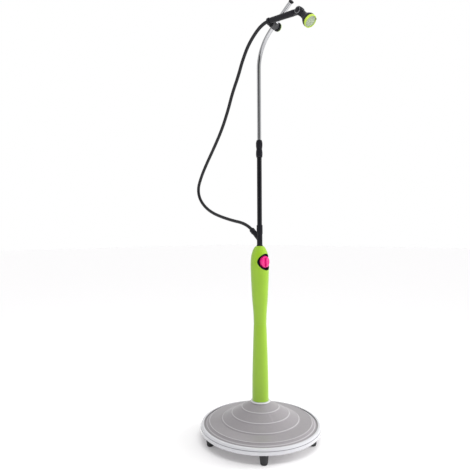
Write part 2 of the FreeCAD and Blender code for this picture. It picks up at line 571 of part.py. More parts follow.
# ---- slider and holder ------------------------------------------------------------------------
def makeSlider():
    """Clamp that slides on the inclined tube; its local Z runs along the tube, local Y across."""
    frame = FreeCAD.Placement(onTip("sliderOffset"), tipTurn())
    half = "sliderLength / 2"
    liner = lathe([("innerTubeRadius + runningFit", f"-({half}) + 0.5"), ("innerTubeRadius + 1.5", f"-({half}) + 0.5"),
                   ("innerTubeRadius + 1.5", f"{half} - 0.5"), ("innerTubeRadius + runningFit", f"{half} - 0.5")],
                  "liner_turned", frame)
    keep(liner, "slider_liner")
    barrel = lathe([(0, f"-({half})"), ("sliderRadius - 1.5", f"-({half})"), ("sliderRadius", f"-({half}) + 3"),
                    ("sliderRadius", f"{half} - 3"), ("sliderRadius - 1.5", half), (0, half)], "slider_barrel")
    bossNear = cylinder("sliderRadius - 1", 21, (0, 0, 0), (0, -1, 0))
    bossFar = cylinder("sliderRadius - 2", "clampSide", (0, 0, 0), (0, 1, 0))
    bore = cylinder("innerTubeRadius + 1.5 + runningFit", 80, (0, 0, -40))
    boltHole = cylinder(3.3, 40, (0, 0, 0), (0, 1, 0))
    screwHole = cylinder(2.8, 40, (0, 0, 0), (0, -1, 0))
    body = cut(fused([barrel, bossNear, bossFar]), [bore, boltHole, screwHole])
    body.Placement = frame
    keep(body, "slider_body")
    bolt = headedScrew(3, 5.4, 5.5, 3, (0, "clampSide + clearance * 2", 0), "clamp_bolt_turned", (0, 1, 0))
    bolt.Placement = frame.multiply(bolt.Placement)
    keep(bolt, "clamp_bolt")
    across = frame.multiply(placed((0, "clampSide + clearance", 0), (0, 1, 0)))
    knob = lathe([(3.05, 0), ("clampKnobRadius - 3", 0), ("clampKnobRadius", 3), ("clampKnobRadius", 10),
                  (5.6, 10), (5.6, 0.3), (3.05, 0.3)], "clamp_knob_turned")
    lobes = [cylinder(2.2, 30, (x, y, -5)) for x, y in around("12", "clampKnobRadius + 1")]
    knob = cut(knob, lobes)
    knob.Placement = across
    keep(knob, "clamp_knob")
    keep(lathe([(0, 10.1), ("clampKnobRadius - 1", 10.1), ("clampKnobRadius - 1", 12),
                ("clampKnobRadius - 3", 13.6), (0, 13.6)], "clamp_cap_turned", across), "clamp_knob_cap")
    return frame


def handsetPlace():
    """The hand shower's frame: local Z along the handle from its tail, local Y across."""
    turn = FreeCAD.Rotation(FreeCAD.Vector(0, 1, 0), 90 + size("handsetTilt"))
    return FreeCAD.Placement(point("handsetStart", "-handsetSide", "handsetLevel"), turn)


def makeHolder(slider):
    """Cradle that tilts on the clamp; a slot along its top lets the hose out."""
    place = handsetPlace()
    pivot = slider.Base
    reach = "21 + clearance"
    disc = primitive("Cylinder", {"Radius": "holderRadius", "Height": 7},
                     FreeCAD.Placement(FreeCAD.Vector(pivot.x - 3, -size(reach), pivot.z + size("holderRise")),
                                       FreeCAD.Rotation(FreeCAD.Vector(0, 0, 1), FreeCAD.Vector(0, -1, 0))))
    seat = "tailNutRadius + clearance"
    ring = lathe([(seat, "1 - tailNutLength"), (f"{seat} + 2.6", "1 - tailNutLength"),
                  (f"{seat} + 3.6", "2 - tailNutLength"), (f"{seat} + 3.6", -2.4), (f"{seat} + 2.8", -1.6),
                  (seat, -1.6)], "holder_ring", place)
    hollow = cylinder(seat, 80)
    hollow.Placement = place.multiply(placed((0, 0, -60)))
    slot = primitive("Box", {"Length": 40, "Width": "hoseRadius * 2 + 1", "Height": 60})
    slot.Placement = place.multiply(FreeCAD.Placement(point(-40, "-hoseRadius - 0.5", -50), FreeCAD.Rotation()))
    screwHole = primitive("Cylinder", {"Radius": 2.8, "Height": 40},
                          FreeCAD.Placement(FreeCAD.Vector(pivot.x, -10, pivot.z), disc.Placement.Rotation))
    recess = primitive("Cylinder", {"Radius": 5.3, "Height": 13},
                       FreeCAD.Placement(FreeCAD.Vector(pivot.x, -size(reach) - 2.5, pivot.z), disc.Placement.Rotation))
    way = cylinder("handleRadius + clearance * 4", 80)
    way.Placement = place.multiply(placed((0, 0, -1)))
    keep(cut(fused([disc, ring]), [hollow, slot, screwHole, recess, way]), "handset_holder")
    screw = headedScrew(2.5, 13, 4.5, 2, (0, f"-({reach}) - 2.8", 0), "pivot_screw_turned", (0, -1, 0))
    screw.Placement = FreeCAD.Placement(FreeCAD.Vector(pivot.x, 0, pivot.z), FreeCAD.Rotation()).multiply(screw.Placement)
    keep(screw, "holder_pivot_screw")


# ---- hand shower ------------------------------------------------------------------------------
def headPlace():
    """The spray head's frame: origin on the knuckle's axis, local Z towards the spray face."""
    start = handsetPlace().multVec(FreeCAD.Vector(0, 0, size("handleLength")))
    return FreeCAD.Placement(start, FreeCAD.Rotation(FreeCAD.Vector(0, 1, 0), 90 + size("headTilt")))


def acrossHead(radius, width, offset="0"):
    """A cylinder across the knuckle, centred on local Y = offset in the head's frame."""
    return cylinder(radius, width, (0, f"({offset}) - ({width}) / 2", 0), (0, 1, 0))


def makeHandle():
    place = handsetPlace()
    grip = lathe([(0, 0), ("handleRadius - 1.6", 0), ("handleRadius - 0.4", 2), ("handleRadius", 60),
                  ("handleRadius + 0.4", 100), ("handleRadius + 0.8", "handleLength - 34"),
                  ("handleRadius - 4", "handleLength - 24"), (0, "handleLength - 24")], "grip_turned")
    neck = box("hubRadius * 1.3", "hubWidth", 22, (0, 0, "handleLength - 34"))
    hub = cylinder("hubRadius", "hubWidth", (0, "-hubWidth / 2", "handleLength"), (0, 1, 0))
    bores = [cylinder("pipeBore", "handleLength", (0, 0, -1)),
             cylinder("spindleRadius + runningFit", 60, (0, -30, "handleLength"), (0, 1, 0))]
    handle = cut(fused([grip, neck, hub]), bores)
    handle.Placement = place
    keep(handle, "handle_body")
    tail = "-tailNutLength"
    keep(lathe([("hoseRadius + 0.2", tail), ("hoseRadius + 1.6", tail), ("tailNutRadius", f"{tail} + 2"),
                ("tailNutRadius", -1.6), ("tailNutRadius - 1", -0.1), ("pipeBore", -0.1), ("pipeBore", f"{tail} + 6.2"),
                ("hoseRadius + 0.2", f"{tail} + 6.2")], "tail_nut_turned", place), "tail_nut")


def makeHead():
    """Knuckle ears, bell, and the dial with its spray plate and nozzles."""
    place = headPlace()
    back, front = "hubRadius - 4", "headLength - 12"
    bell = lathe([(0, back), (14.2, back), (13.8, 26), (14.6, 34), ("headRadius - 12.5", 44), ("headRadius - 5", 57),
                  ("headRadius - 1", 66), ("headRadius", front), (0, front)], "bell_turned")
    ear = "hubWidth / 2 + clearance + 3"
    ears = [acrossHead("hubRadius - 1", 6, ear), acrossHead("hubRadius - 1", 6, f"-({ear})")]
    cheeks = [box("hubRadius * 1.5", 6, 26, (0, f"{sign}({ear})", 0)) for sign in ("", "-")]
    hollow = lathe([(0, 36), (8, 36), ("headRadius - 13", 52), ("headRadius - 5", 66), ("headRadius - 5", "headLength"),
                    (0, "headLength")], "bell_hollow")
    cuts = [acrossHead("hubRadius + clearance * 1.5", "hubWidth + clearance * 2"), hollow,
            acrossHead("spindleRadius + 0.02", 80), cylinder("pipeBore", 60, (0, 0, 10))]
    head = cut(fused([bell] + ears + cheeks), cuts)
    head.Placement = place
    keep(head, "head_body")
    pin = acrossHead("spindleRadius", f"2 * ({ear}) + 6")
    pin.Placement = place.multiply(pin.Placement)
    keep(pin, "head_pivot_pin")
    caps, trims = [], []
    for sign in (1, -1):
        seat = place.multiply(placed((0, f"{sign} * ({ear} + 3.02)", 0), (0, sign, 0)))
        caps.append(lathe([(0, 0), ("pivotCapRadius", 0), ("pivotCapRadius", 2), ("pivotCapRadius - 3", 3.2), (0, 3.4)],
                          "pivot_cap", seat))
        trims.append(lathe([("pivotCapRadius + 0.1", 0), ("hubRadius - 2.6", 0), ("hubRadius - 2.6", 1.6),
                            ("hubRadius - 3.4", 2.4), ("pivotCapRadius + 0.8", 2.4), ("pivotCapRadius + 0.1", 1.6)],
                           "pivot_trim", seat))
    keep(grouped(caps), "pivot_caps")
    keep(grouped(trims), "pivot_trims")
    makeDial(place)


def makeDial(place):
    low = "headLength - 12 + clearance"
    ring = lathe([("headRadius - 5", low), ("faceRadius - 0.8", low), ("faceRadius", f"{low} + 2"),
                  ("faceRadius", "headLength - 2.5"), ("faceRadius - 2", "headLength"),
                  ("headRadius - 3.5", "headLength"), ("headRadius - 5", "headLength - 3")], "face_ring_turned")
    ring.Placement = place
    keep(ring, "face_ring")
    plate = lathe([(0, "headLength - 7"), ("headRadius - 5.1", "headLength - 7"),
                   ("headRadius - 5.1", "headLength - 3.6"), ("headRadius - 9", "headLength - 2.6"),
                   (0, "headLength - 2")], "plate_turned")
    nozzles, pits = [], []
    for count, circle in (("1", "0"), ("6", "6"), ("12", "12"), ("18", "18")):
        for x, y in around(count, circle):
            pits.append(cylinder(1.15, 6, (x, y, "headLength - 8")))
            nozzles.append(primitive("Cone", {"Radius1": 1.1, "Radius2": 0.8, "Height": 4.4},
                                     placed((x, y, "headLength - 5.6"))))
    plate = cut(plate, pits)
    plate.Placement = place
    keep(plate, "spray_plate")
    group = grouped(nozzles)
    group.Placement = place
    keep(group, "spray_nozzles")
    reach = "(faceRadius - 2) * sqrt(0.5)"
    tab = primitive("Cylinder", {"Radius": 2.4, "Height": 10.2},
                    place.multiply(placed((f"-{reach}", reach, f"{low} + 2"))))
    keep(tab, "dial_tab")


makeBaseCover()
makeBaseRim()
makeBasePan()
makeNeckRing()
makeBallastPlug()
makeFeet()
makeColumnInside(makeColumn())
makeInlet()
makeValve()
makeKnob()
makeBranchFitting()
makeHose()
makeMast()
makeHolder(makeSlider())
makeHandle()
makeHead()
doc.recompute()

failed = [item.Name for item in doc.Objects if "Invalid" in item.State or "Error" in item.State]
if failed:
    raise RuntimeError("objects that did not recompute: " + ", ".join(failed))
os.makedirs("parts", exist_ok=True)
for piece in subParts:
    shape = piece.Shape
    if shape.isNull() or not shape.isValid() or not shape.Solids:
        raise RuntimeError("bad shape: " + piece.Label)
    shape.exportStep(f"parts/{piece.Label}.step")
print("sub-parts", len(subParts))
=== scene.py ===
import bpy
import bmesh
import json
import math
import numpy as np
from mathutils import Matrix, Vector

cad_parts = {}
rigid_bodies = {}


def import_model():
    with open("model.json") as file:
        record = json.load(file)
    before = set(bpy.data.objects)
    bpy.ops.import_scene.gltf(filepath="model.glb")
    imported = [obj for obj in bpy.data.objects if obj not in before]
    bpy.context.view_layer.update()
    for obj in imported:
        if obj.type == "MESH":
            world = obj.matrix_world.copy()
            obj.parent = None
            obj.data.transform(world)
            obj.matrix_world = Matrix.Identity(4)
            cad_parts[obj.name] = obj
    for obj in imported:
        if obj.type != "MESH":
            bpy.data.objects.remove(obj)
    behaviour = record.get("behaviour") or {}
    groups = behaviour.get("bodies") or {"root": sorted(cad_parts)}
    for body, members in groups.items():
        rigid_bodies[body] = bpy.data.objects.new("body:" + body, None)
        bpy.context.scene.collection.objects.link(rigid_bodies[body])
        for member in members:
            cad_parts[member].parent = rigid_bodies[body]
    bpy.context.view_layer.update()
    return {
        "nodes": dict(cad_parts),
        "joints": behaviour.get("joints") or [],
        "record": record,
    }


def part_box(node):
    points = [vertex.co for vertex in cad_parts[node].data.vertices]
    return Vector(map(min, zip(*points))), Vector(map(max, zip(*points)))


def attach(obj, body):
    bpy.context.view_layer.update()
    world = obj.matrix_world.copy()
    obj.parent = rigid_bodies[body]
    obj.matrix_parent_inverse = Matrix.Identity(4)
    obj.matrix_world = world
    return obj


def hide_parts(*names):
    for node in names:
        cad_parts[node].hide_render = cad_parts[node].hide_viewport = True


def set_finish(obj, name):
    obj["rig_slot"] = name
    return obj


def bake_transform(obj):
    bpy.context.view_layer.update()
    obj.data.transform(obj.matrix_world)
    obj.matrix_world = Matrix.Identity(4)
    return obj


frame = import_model()
mm = 0.001
scene = bpy.context.scene
print("stage: frame loaded, nodes", len(frame["nodes"]))


cameraValues = {
    "distance": 2.115, "height": 0.955, "azimuth": -45.0, "aside": 0.1158, "roll": -0.28,
    "lens": 34.47, "sensor": 36,
}


def makeCamera(values):
    turn = math.radians(values["azimuth"])
    outward = Vector((math.cos(turn), math.sin(turn), 0))
    rightward = Vector((-math.sin(turn), math.cos(turn), 0))
    place = outward * values["distance"] - rightward * values["aside"] + Vector((0, 0, values["height"]))
    data = bpy.data.cameras.new("camera")
    data.lens = values["lens"]
    data.sensor_width = values["sensor"]
    camera = bpy.data.objects.new("camera", data)
    scene.collection.objects.link(camera)
    roll = Matrix.Rotation(math.radians(values["roll"]), 3, "Z")
    turned = outward.to_track_quat("Z", "Y").to_matrix() @ roll
    camera.matrix_world = Matrix.Translation(place) @ turned.to_4x4()
    scene.camera = camera


# A surface from a grid of points, rows along its length and columns round it.
def gridPiece(name, points, closedAlong=False):
    rows, columns = points.shape[:2]
    index = np.arange(rows * columns).reshape(rows, columns)
    nextRow = np.roll(index, -1, axis=0) if closedAlong else index[1:]
    thisRow = index if closedAlong else index[:-1]
    quads = np.stack([thisRow, np.roll(thisRow, -1, axis=1), np.roll(nextRow, -1, axis=1), nextRow], axis=-1)
    quads = quads.reshape(-1, 4)
    mesh = bpy.data.meshes.new(name)
    mesh.vertices.add(rows * columns)
    mesh.vertices.foreach_set("co", points.reshape(-1).astype(np.float32))
    mesh.loops.add(quads.size)
    mesh.loops.foreach_set("vertex_index", quads.reshape(-1).astype(np.int32))
    mesh.polygons.add(len(quads))
    mesh.polygons.foreach_set("loop_start", np.arange(0, quads.size, 4, dtype=np.int32))
    mesh.update(calc_edges=True)
    mesh.validate()
    piece = bpy.data.objects.new(name, mesh)
    scene.collection.objects.link(piece)
    return piece


hose = {
    "diameter": 16 * mm, "around": 20, "spacing": 2.2 * mm, "ribDepth": 0.2 * mm, "ribPitch": 4.4 * mm,
    "pathEvery": 6,
    "route": [(-43.86, 0, 973.86), (-77.86, 0, 1007.86), (-209.7, -1, 1032.6), (-342.9, -3, 1074.6),
              (-417.6, -6, 1135), (-437.2, -8, 1198.4), (-408.9, -10, 1259.6), (-360.3, -12, 1328.4),
              (-298, -15, 1403.7), (-235.5, -19, 1484.7), (-186.8, -23, 1569.6), (-149.3, -27, 1650.6),
              (-106, -31, 1718.5), (-71.5, -35, 1787.4), (-23.3, -37.8, 1857.8), (56.8, -38, 1917.8),
              (95.6, -38, 1914.4)],
}


# Points on the NURBS line whose control points are the route's.
def routeLine(values):
    curve = bpy.data.curves.new("hoseLine", "CURVE")
    curve.dimensions = "3D"
    curve.resolution_u = 60
    spline = curve.splines.new("NURBS")
    spline.points.add(len(values["route"]) - 1)
    for spot, corner in zip(spline.points, values["route"]):
        spot.co = (corner[0] * mm, corner[1] * mm, corner[2] * mm, 1)
    spline.order_u = 3
    spline.use_endpoint_u = True
    holder = bpy.data.objects.new("hoseLine", curve)
    scene.collection.objects.link(holder)
    bpy.context.view_layer.update()
    mesh = bpy.data.meshes.new_from_object(holder.evaluated_get(bpy.context.evaluated_depsgraph_get()))
    line = np.array([vertex.co[:] for vertex in mesh.vertices])
    bpy.data.objects.remove(holder)
    bpy.data.meshes.remove(mesh)
    bpy.data.curves.remove(curve)
    return line


# The same line with points a fixed distance apart, and the distance of each from its start.
def evenlyAlong(line, spacing):
    steps = np.linalg.norm(np.diff(line, axis=0), axis=1)
    travelled = np.concatenate([[0], np.cumsum(steps)])
    count = int(travelled[-1] / spacing) + 1
    wanted = np.linspace(0, travelled[-1], count)
    return np.stack([np.interp(wanted, travelled, line[:, axis]) for axis in range(3)], axis=1), wanted


# Two cross directions at each point, the first kept near the world's Y.
def carriedFrames(line):
    tangent = np.gradient(line, axis=0)
    tangent /= np.linalg.norm(tangent, axis=1, keepdims=True)
    side = np.tile([0.0, 1.0, 0.0], (len(line), 1))
    side -= (side * tangent).sum(axis=1, keepdims=True) * tangent
    side /= np.linalg.norm(side, axis=1, keepdims=True)
    return side, np.cross(tangent, side)


# Unit directions round each point of the line, and the angles they stand at.
def ringsAlong(line, around):
    side, up = carriedFrames(line)
    angle = np.linspace(0, 2 * np.pi, around, endpoint=False)
    return side[:, None, :] * np.cos(angle)[None, :, None] + up[:, None, :] * np.sin(angle)[None, :, None], angle


# Circle carried along the line, its radius rippled by a fine spiral rib.
def makeHose(values):
    line, travelled = evenlyAlong(routeLine(values), values["spacing"])
    ring, angle = ringsAlong(line, values["around"])
    radius = values["diameter"] / 2 - values["ribDepth"] * (0.5 + 0.5 * np.cos(
        angle[None, :] + 2 * np.pi * travelled[:, None] / values["ribPitch"]))
    points = line[:, None, :] + ring * radius[:, :, None]
    piece = gridPiece("hose_tube", points[:, ::-1])
    capEnds(piece)
    smoothShade(piece, 60)
    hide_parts("hose")
    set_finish(piece, "hose_rubber")
    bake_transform(piece)
    print("stage: hose, length", round(float(travelled[-1]), 3))


# Closes a tube's two open ends with one face each.
def capEnds(piece):
    work = bmesh.new()
    work.from_mesh(piece.data)
    rims = [edge for edge in work.edges if edge.is_boundary]
    bmesh.ops.holes_fill(work, edges=rims, sides=0)
    bmesh.ops.recalc_face_normals(work, faces=work.faces)
    work.to_mesh(piece.data)
    work.free()


def smoothShade(piece, sharpAngle):
    piece.data.polygons.foreach_set("use_smooth", np.ones(len(piece.data.polygons), dtype=bool))
    piece.data.set_sharp_from_angle(angle=math.radians(sharpAngle))
    piece.data.update()


makeCamera(cameraValues)
makeHose(hose)


jointNamed = {joint["name"]: joint for joint in frame["joints"]}


# Matrix whose local Z runs along a direction, with local Y kept near another.
def localFrame(place, along, across=(0, 1, 0)):
    zAxis = Vector(along).normalized()
    yAxis = (Vector(across) - zAxis * Vector(across).dot(zAxis)).normalized()
    xAxis = yAxis.cross(zAxis)
    turned = Matrix((xAxis, yAxis, zAxis)).transposed()
    return Matrix.Translation(Vector(place)) @ turned.to_4x4()


upright = Matrix.Identity(4)
valvePlace = localFrame(jointNamed["valve_turn"]["pos_m"], (1, 0, 0))
sliderPlace = localFrame(jointNamed["slider_swivel"]["pos_m"], jointNamed["slider_slide"]["axis"])
handleWay = Vector(jointNamed["handset_lift"]["axis"])
pivotSpot = Vector(jointNamed["head_pivot"]["pos_m"])
handsetPlace = localFrame(pivotSpot, handleWay)
headPlace = localFrame(pivotSpot, jointNamed["dial_turn"]["axis"])
clampPlace = localFrame(jointNamed["clamp_turn"]["pos_m"], (0, 1, 0), across=(0, 0, 1))


rounding = {"straight": 0.02, "mostReach": 0.46, "degreesPerStep": 12, "support": 0.3, "supportShare": 0.2}
welding = {"close": 2e-6, "sliver": 1e-6, "copied": 1e-5, "flatDegrees": 0.5}


# Outline through (radius, height, rounding) corners in millimetres: each corner with a rounding
# becomes an arc tangent to its two runs, with a support point beside each arc's ends.
def roundedOutline(corners, closed=False):
    spots = np.array([corner[:2] for corner in corners], dtype=float)
    roundings = [corner[2] if len(corner) > 2 else 0 for corner in corners]
    count = len(spots)
    points = []
    for number in range(count):
        here = spots[number]
        if roundings[number] <= 0 or (not closed and number in (0, count - 1)):
            points.append(here)
            continue
        back = spots[number - 1] - here
        ahead = spots[(number + 1) % count] - here
        backLength, aheadLength = np.linalg.norm(back), np.linalg.norm(ahead)
        back, ahead = back / backLength, ahead / aheadLength
        turn = math.pi - math.acos(float(np.clip(back @ ahead, -1, 1)))
        if turn < rounding["straight"]:
            points.append(here)
            continue
        room = rounding["mostReach"] * min(backLength, aheadLength)
        reach = min(roundings[number] * math.tan(turn / 2), room)
        radius = reach / math.tan(turn / 2)
        centre = here + (back + ahead) / np.linalg.norm(back + ahead) * radius / math.cos(turn / 2)
        steps = max(3, int(math.degrees(turn) / rounding["degreesPerStep"]))
        first = here + back * reach - centre
        last = here + ahead * reach - centre
        support = min(rounding["support"], rounding["supportShare"] * reach)
        points.append(here + back * (reach + support))
        for share in np.linspace(0, 1, steps + 1):
            blend = math.sin((1 - share) * turn) * first + math.sin(share * turn) * last
            points.append(centre + blend / math.sin(turn) if turn < math.pi - 0.05 else here)
        points.append(here + ahead * (reach + support))
    return np.array(points)


# Flutes cut round a rim: onRim is one where they are deepest, and power narrows them.
def fluted(onRim, depth, count, angle, power):
    return -depth * onRim * (0.5 + 0.5 * np.cos(count * angle)) ** power


# Outline turned about local Z; ripple adds to the radius from the outline's points and angles.
def turnedPiece(name, corners, place=upright, around=96, closed=True, ripple=None, sharp=40):
    outline = roundedOutline(corners, closed)
    angle = np.linspace(0, 2 * np.pi, around, endpoint=False)
    radius = np.repeat(outline[:, :1], around, axis=1)
    if ripple is not None:
        radius = radius + ripple(outline[:, 0][:, None], outline[:, 1][:, None], angle[None, :])
    height = np.repeat(outline[:, 1:], around, axis=1)
    points = np.stack([radius * np.cos(angle), radius * np.sin(angle), height], axis=-1) * mm
    piece = gridPiece(name, points, closedAlong=closed)
    finishMesh(piece, place, sharp)
    return piece


# Closes poles, turns the faces outwards and puts the mesh in its place.
def finishMesh(piece, place, sharp):
    work = bmesh.new()
    work.from_mesh(piece.data)
    bmesh.ops.remove_doubles(work, verts=work.verts, dist=welding["close"])
    bmesh.ops.dissolve_degenerate(work, edges=work.edges, dist=welding["sliver"])
    bmesh.ops.recalc_face_normals(work, faces=work.faces)
    bmesh.ops.transform(work, matrix=place, verts=work.verts)
    work.to_mesh(piece.data)
    work.free()
    smoothShade(piece, sharp)


# One piece made of several meshes.
def joined(name, parts):
    work = bmesh.new()
    for part in parts:
        work.from_mesh(part.data)
        bpy.data.objects.remove(part)
    mesh = bpy.data.meshes.new(name)
    work.to_mesh(mesh)
    work.free()
    piece = bpy.data.objects.new(name, mesh)
    scene.collection.objects.link(piece)
    return piece


# Applies the piece's modifiers to its mesh.
def withModifiers(piece):
    bpy.context.view_layer.update()
    evaluated = piece.evaluated_get(bpy.context.evaluated_depsgraph_get())
    mesh = bpy.data.meshes.new_from_object(evaluated)
    piece.modifiers.clear()
    piece.data = mesh


def bevelled(piece, width, segments, angle):
    modifier = piece.modifiers.new("edges", "BEVEL")
    modifier.width = width * mm
    modifier.segments = segments
    modifier.limit_method = "ANGLE"
    modifier.angle_limit = math.radians(angle)
    modifier.harden_normals = False
    withModifiers(piece)


def copyOfNode(node, name):
    piece = bpy.data.objects.new(name, frame["nodes"][node].data.copy())
    scene.collection.objects.link(piece)
    work = bmesh.new()
    work.from_mesh(piece.data)
    bmesh.ops.remove_doubles(work, verts=work.verts, dist=welding["copied"])
    flat = math.radians(welding["flatDegrees"])
    bmesh.ops.dissolve_limit(work, angle_limit=flat, verts=work.verts, edges=work.edges)
    work.to_mesh(piece.data)
    work.free()
    return piece


# The node's solid with its edges and inside corners rounded as a moulding's are.
def softened(node, name, voxel, smoothing):
    piece = copyOfNode(node, name)
    remesh = piece.modifiers.new("voxels", "REMESH")
    remesh.mode = "VOXEL"
    remesh.voxel_size = voxel * mm
    relax = piece.modifiers.new("relax", "SMOOTH")
    relax.factor = 0.5
    relax.iterations = smoothing
    withModifiers(piece)
    smoothShade(piece, 180)
    return piece


# The node's solid with its hard edges bevelled.
def crisp(node, name, width):
    piece = copyOfNode(node, name)
    smoothShade(piece, 30)
    bevelled(piece, width, 2, 40)
    smoothShade(piece, 40)
    return piece


def rides(piece, body, slotName, *nodes):
    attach(piece, body)
    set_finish(piece, slotName)
    if nodes:
        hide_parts(*nodes)


def groupTree(name, inputs, outputs):
    tree = bpy.data.node_groups.new(name, "ShaderNodeTree")
    for label, kind, value in inputs:
        socket = tree.interface.new_socket(label, in_out="INPUT", socket_type=kind)
        socket.default_value = value
    for label, kind in outputs:
        tree.interface.new_socket(label, in_out="OUTPUT", socket_type=kind)
    return tree, tree.nodes.new("NodeGroupInput"), tree.nodes.new("NodeGroupOutput")


def mathNode(tree, operation, first, second=None, clamp=False):
    node = tree.nodes.new("ShaderNodeMath")
    node.operation = operation
    node.use_clamp = clamp
    for socket, value in zip(node.inputs, (first, second)):
        if value is None:
            continue
        if hasattr(value, "is_linked"):
            tree.links.new(value, socket)
        else:
            socket.default_value = value
    return node.outputs[0]


def noiseNode(tree, vector, scale, detail=3.0, roughness=0.55):
    node = tree.nodes.new("ShaderNodeTexNoise")
    node.inputs["Detail"].default_value = detail
    node.inputs["Roughness"].default_value = roughness
    tree.links.new(vector, node.inputs["Vector"])
    if hasattr(scale, "is_linked"):
        tree.links.new(scale, node.inputs["Scale"])
    else:
        node.inputs["Scale"].default_value = scale
    return node.outputs["Fac"]


def mixColour(tree, factor, first, second):
    node = tree.nodes.new("ShaderNodeMix")
    node.data_type = "RGBA"
    for socket, value in ((node.inputs[0], factor), (node.inputs[6], first), (node.inputs[7], second)):
        if hasattr(value, "is_linked"):
            tree.links.new(value, socket)
        else:
            socket.default_value = value
    return node.outputs[2]


def rangeNode(tree, value, low, high, toLow=0.0, toHigh=1.0):
    node = tree.nodes.new("ShaderNodeMapRange")
    tree.links.new(value, node.inputs["Value"])
    for label, number in (("From Min", low), ("From Max", high), ("To Min", toLow), ("To Max", toHigh)):
        node.inputs[label].default_value = number
    return node.outputs["Result"]


# Fine leathery grain of a moulding: a height, a roughness and a faint tint that drifts.
def makeMouldedGrain():
    tree, inside, outside = groupTree("mouldedGrain", [
        ("Grain Scale", "NodeSocketFloat", 2500.0), ("Roughness", "NodeSocketFloat", 0.4),
        ("Roughness Drift", "NodeSocketFloat", 0.08)],
        [("Height", "NodeSocketFloat"), ("Roughness", "NodeSocketFloat"), ("Drift", "NodeSocketFloat")])
    place = tree.nodes.new("ShaderNodeTexCoord").outputs["Object"]
    grain = noiseNode(tree, place, inside.outputs["Grain Scale"], 2.0)
    drift = noiseNode(tree, place, 18.0, 4.0)
    smear = noiseNode(tree, place, 95.0, 3.0, 0.65)
    spread = mathNode(tree, "SUBTRACT", mathNode(tree, "ADD", drift, smear), 1.0)
    rough = mathNode(tree, "MULTIPLY", spread, inside.outputs["Roughness Drift"])
    tree.links.new(grain, outside.inputs["Height"])
    tree.links.new(mathNode(tree, "ADD", inside.outputs["Roughness"], rough, True), outside.inputs["Roughness"])
    tree.links.new(drift, outside.inputs["Drift"])
    return tree


# Colour rubbed paler on outer edges and darkened by painted shade in corners, both from the surface's
# pointiness.
def makeEdgeWearAndCornerShade():
    tree, inside, outside = groupTree("edgeWear", [
        ("Colour", "NodeSocketColor", (0.5, 0.5, 0.5, 1)), ("Rubbed", "NodeSocketColor", (0.8, 0.8, 0.8, 1)),
        ("Grime", "NodeSocketColor", (0.1, 0.1, 0.1, 1)), ("Amount", "NodeSocketFloat", 0.4)],
        [("Colour", "NodeSocketColor"), ("Worn", "NodeSocketFloat")])
    pointy = tree.nodes.new("ShaderNodeNewGeometry").outputs["Pointiness"]
    place = tree.nodes.new("ShaderNodeTexCoord").outputs["Object"]
    patchy = rangeNode(tree, noiseNode(tree, place, 240.0, 4.0, 0.7), 0.42, 0.62)
    edge = mathNode(tree, "MULTIPLY", rangeNode(tree, pointy, 0.52, 0.60), patchy)
    worn = mathNode(tree, "MULTIPLY", edge, inside.outputs["Amount"], True)
    # painted shade: hollow corners darkened towards the corner colour
    corner = mathNode(tree, "MULTIPLY", rangeNode(tree, pointy, 0.49, 0.42), inside.outputs["Amount"], True)
    darker = mixColour(tree, corner, inside.outputs["Colour"], inside.outputs["Grime"])
    tree.links.new(mixColour(tree, worn, darker, inside.outputs["Rubbed"]), outside.inputs["Colour"])
    tree.links.new(worn, outside.inputs["Worn"])
    return tree


# Pale dust that settles on faces that look up, patchy and thin.
def makeDustFall():
    tree, inside, outside = groupTree("dustFall", [
        ("Colour", "NodeSocketColor", (0.5, 0.5, 0.5, 1)), ("Dust", "NodeSocketColor", (0.62, 0.6, 0.56, 1)),
        ("Amount", "NodeSocketFloat", 0.2)],
        [("Colour", "NodeSocketColor"), ("Mask", "NodeSocketFloat")])
    coordinates = tree.nodes.new("ShaderNodeTexCoord")
    split = tree.nodes.new("ShaderNodeSeparateXYZ")
    tree.links.new(coordinates.outputs["Normal"], split.inputs[0])
    upward = rangeNode(tree, split.outputs["Z"], 0.25, 0.95)
    patchy = rangeNode(tree, noiseNode(tree, coordinates.outputs["Object"], 60.0, 6.0, 0.7), 0.35, 0.75)
    settled = mathNode(tree, "MULTIPLY", upward, patchy)
    mask = mathNode(tree, "MULTIPLY", settled, inside.outputs["Amount"], True)
    dusted = mixColour(tree, mask, inside.outputs["Colour"], inside.outputs["Dust"])
    tree.links.new(dusted, outside.inputs["Colour"])
    tree.links.new(mask, outside.inputs["Mask"])
    return tree


grainGroup, wearAndShadeGroup, dustGroup = makeMouldedGrain(), makeEdgeWearAndCornerShade(), makeDustFall()


def placedGroup(tree, group, values):
    node = tree.nodes.new("ShaderNodeGroup")
    node.node_tree = group
    for label, value in values.items():
        if hasattr(value, "is_linked"):
            tree.links.new(value, node.inputs[label])
        else:
            node.inputs[label].default_value = value
    return node


def shade(colour, factor):
    return tuple(min(1.0, channel * factor) for channel in colour[:3]) + (1.0,)


# The corner factor sets the colour of the painted shade in hollow corners.
looks = {
    "coatRoughness": 0.08, "darker": 0.94, "lighter": 1.06, "rubbed": 1.45, "cornerShade": 0.62, "dustDulls": 0.4,
    "bump": 0.35,
}
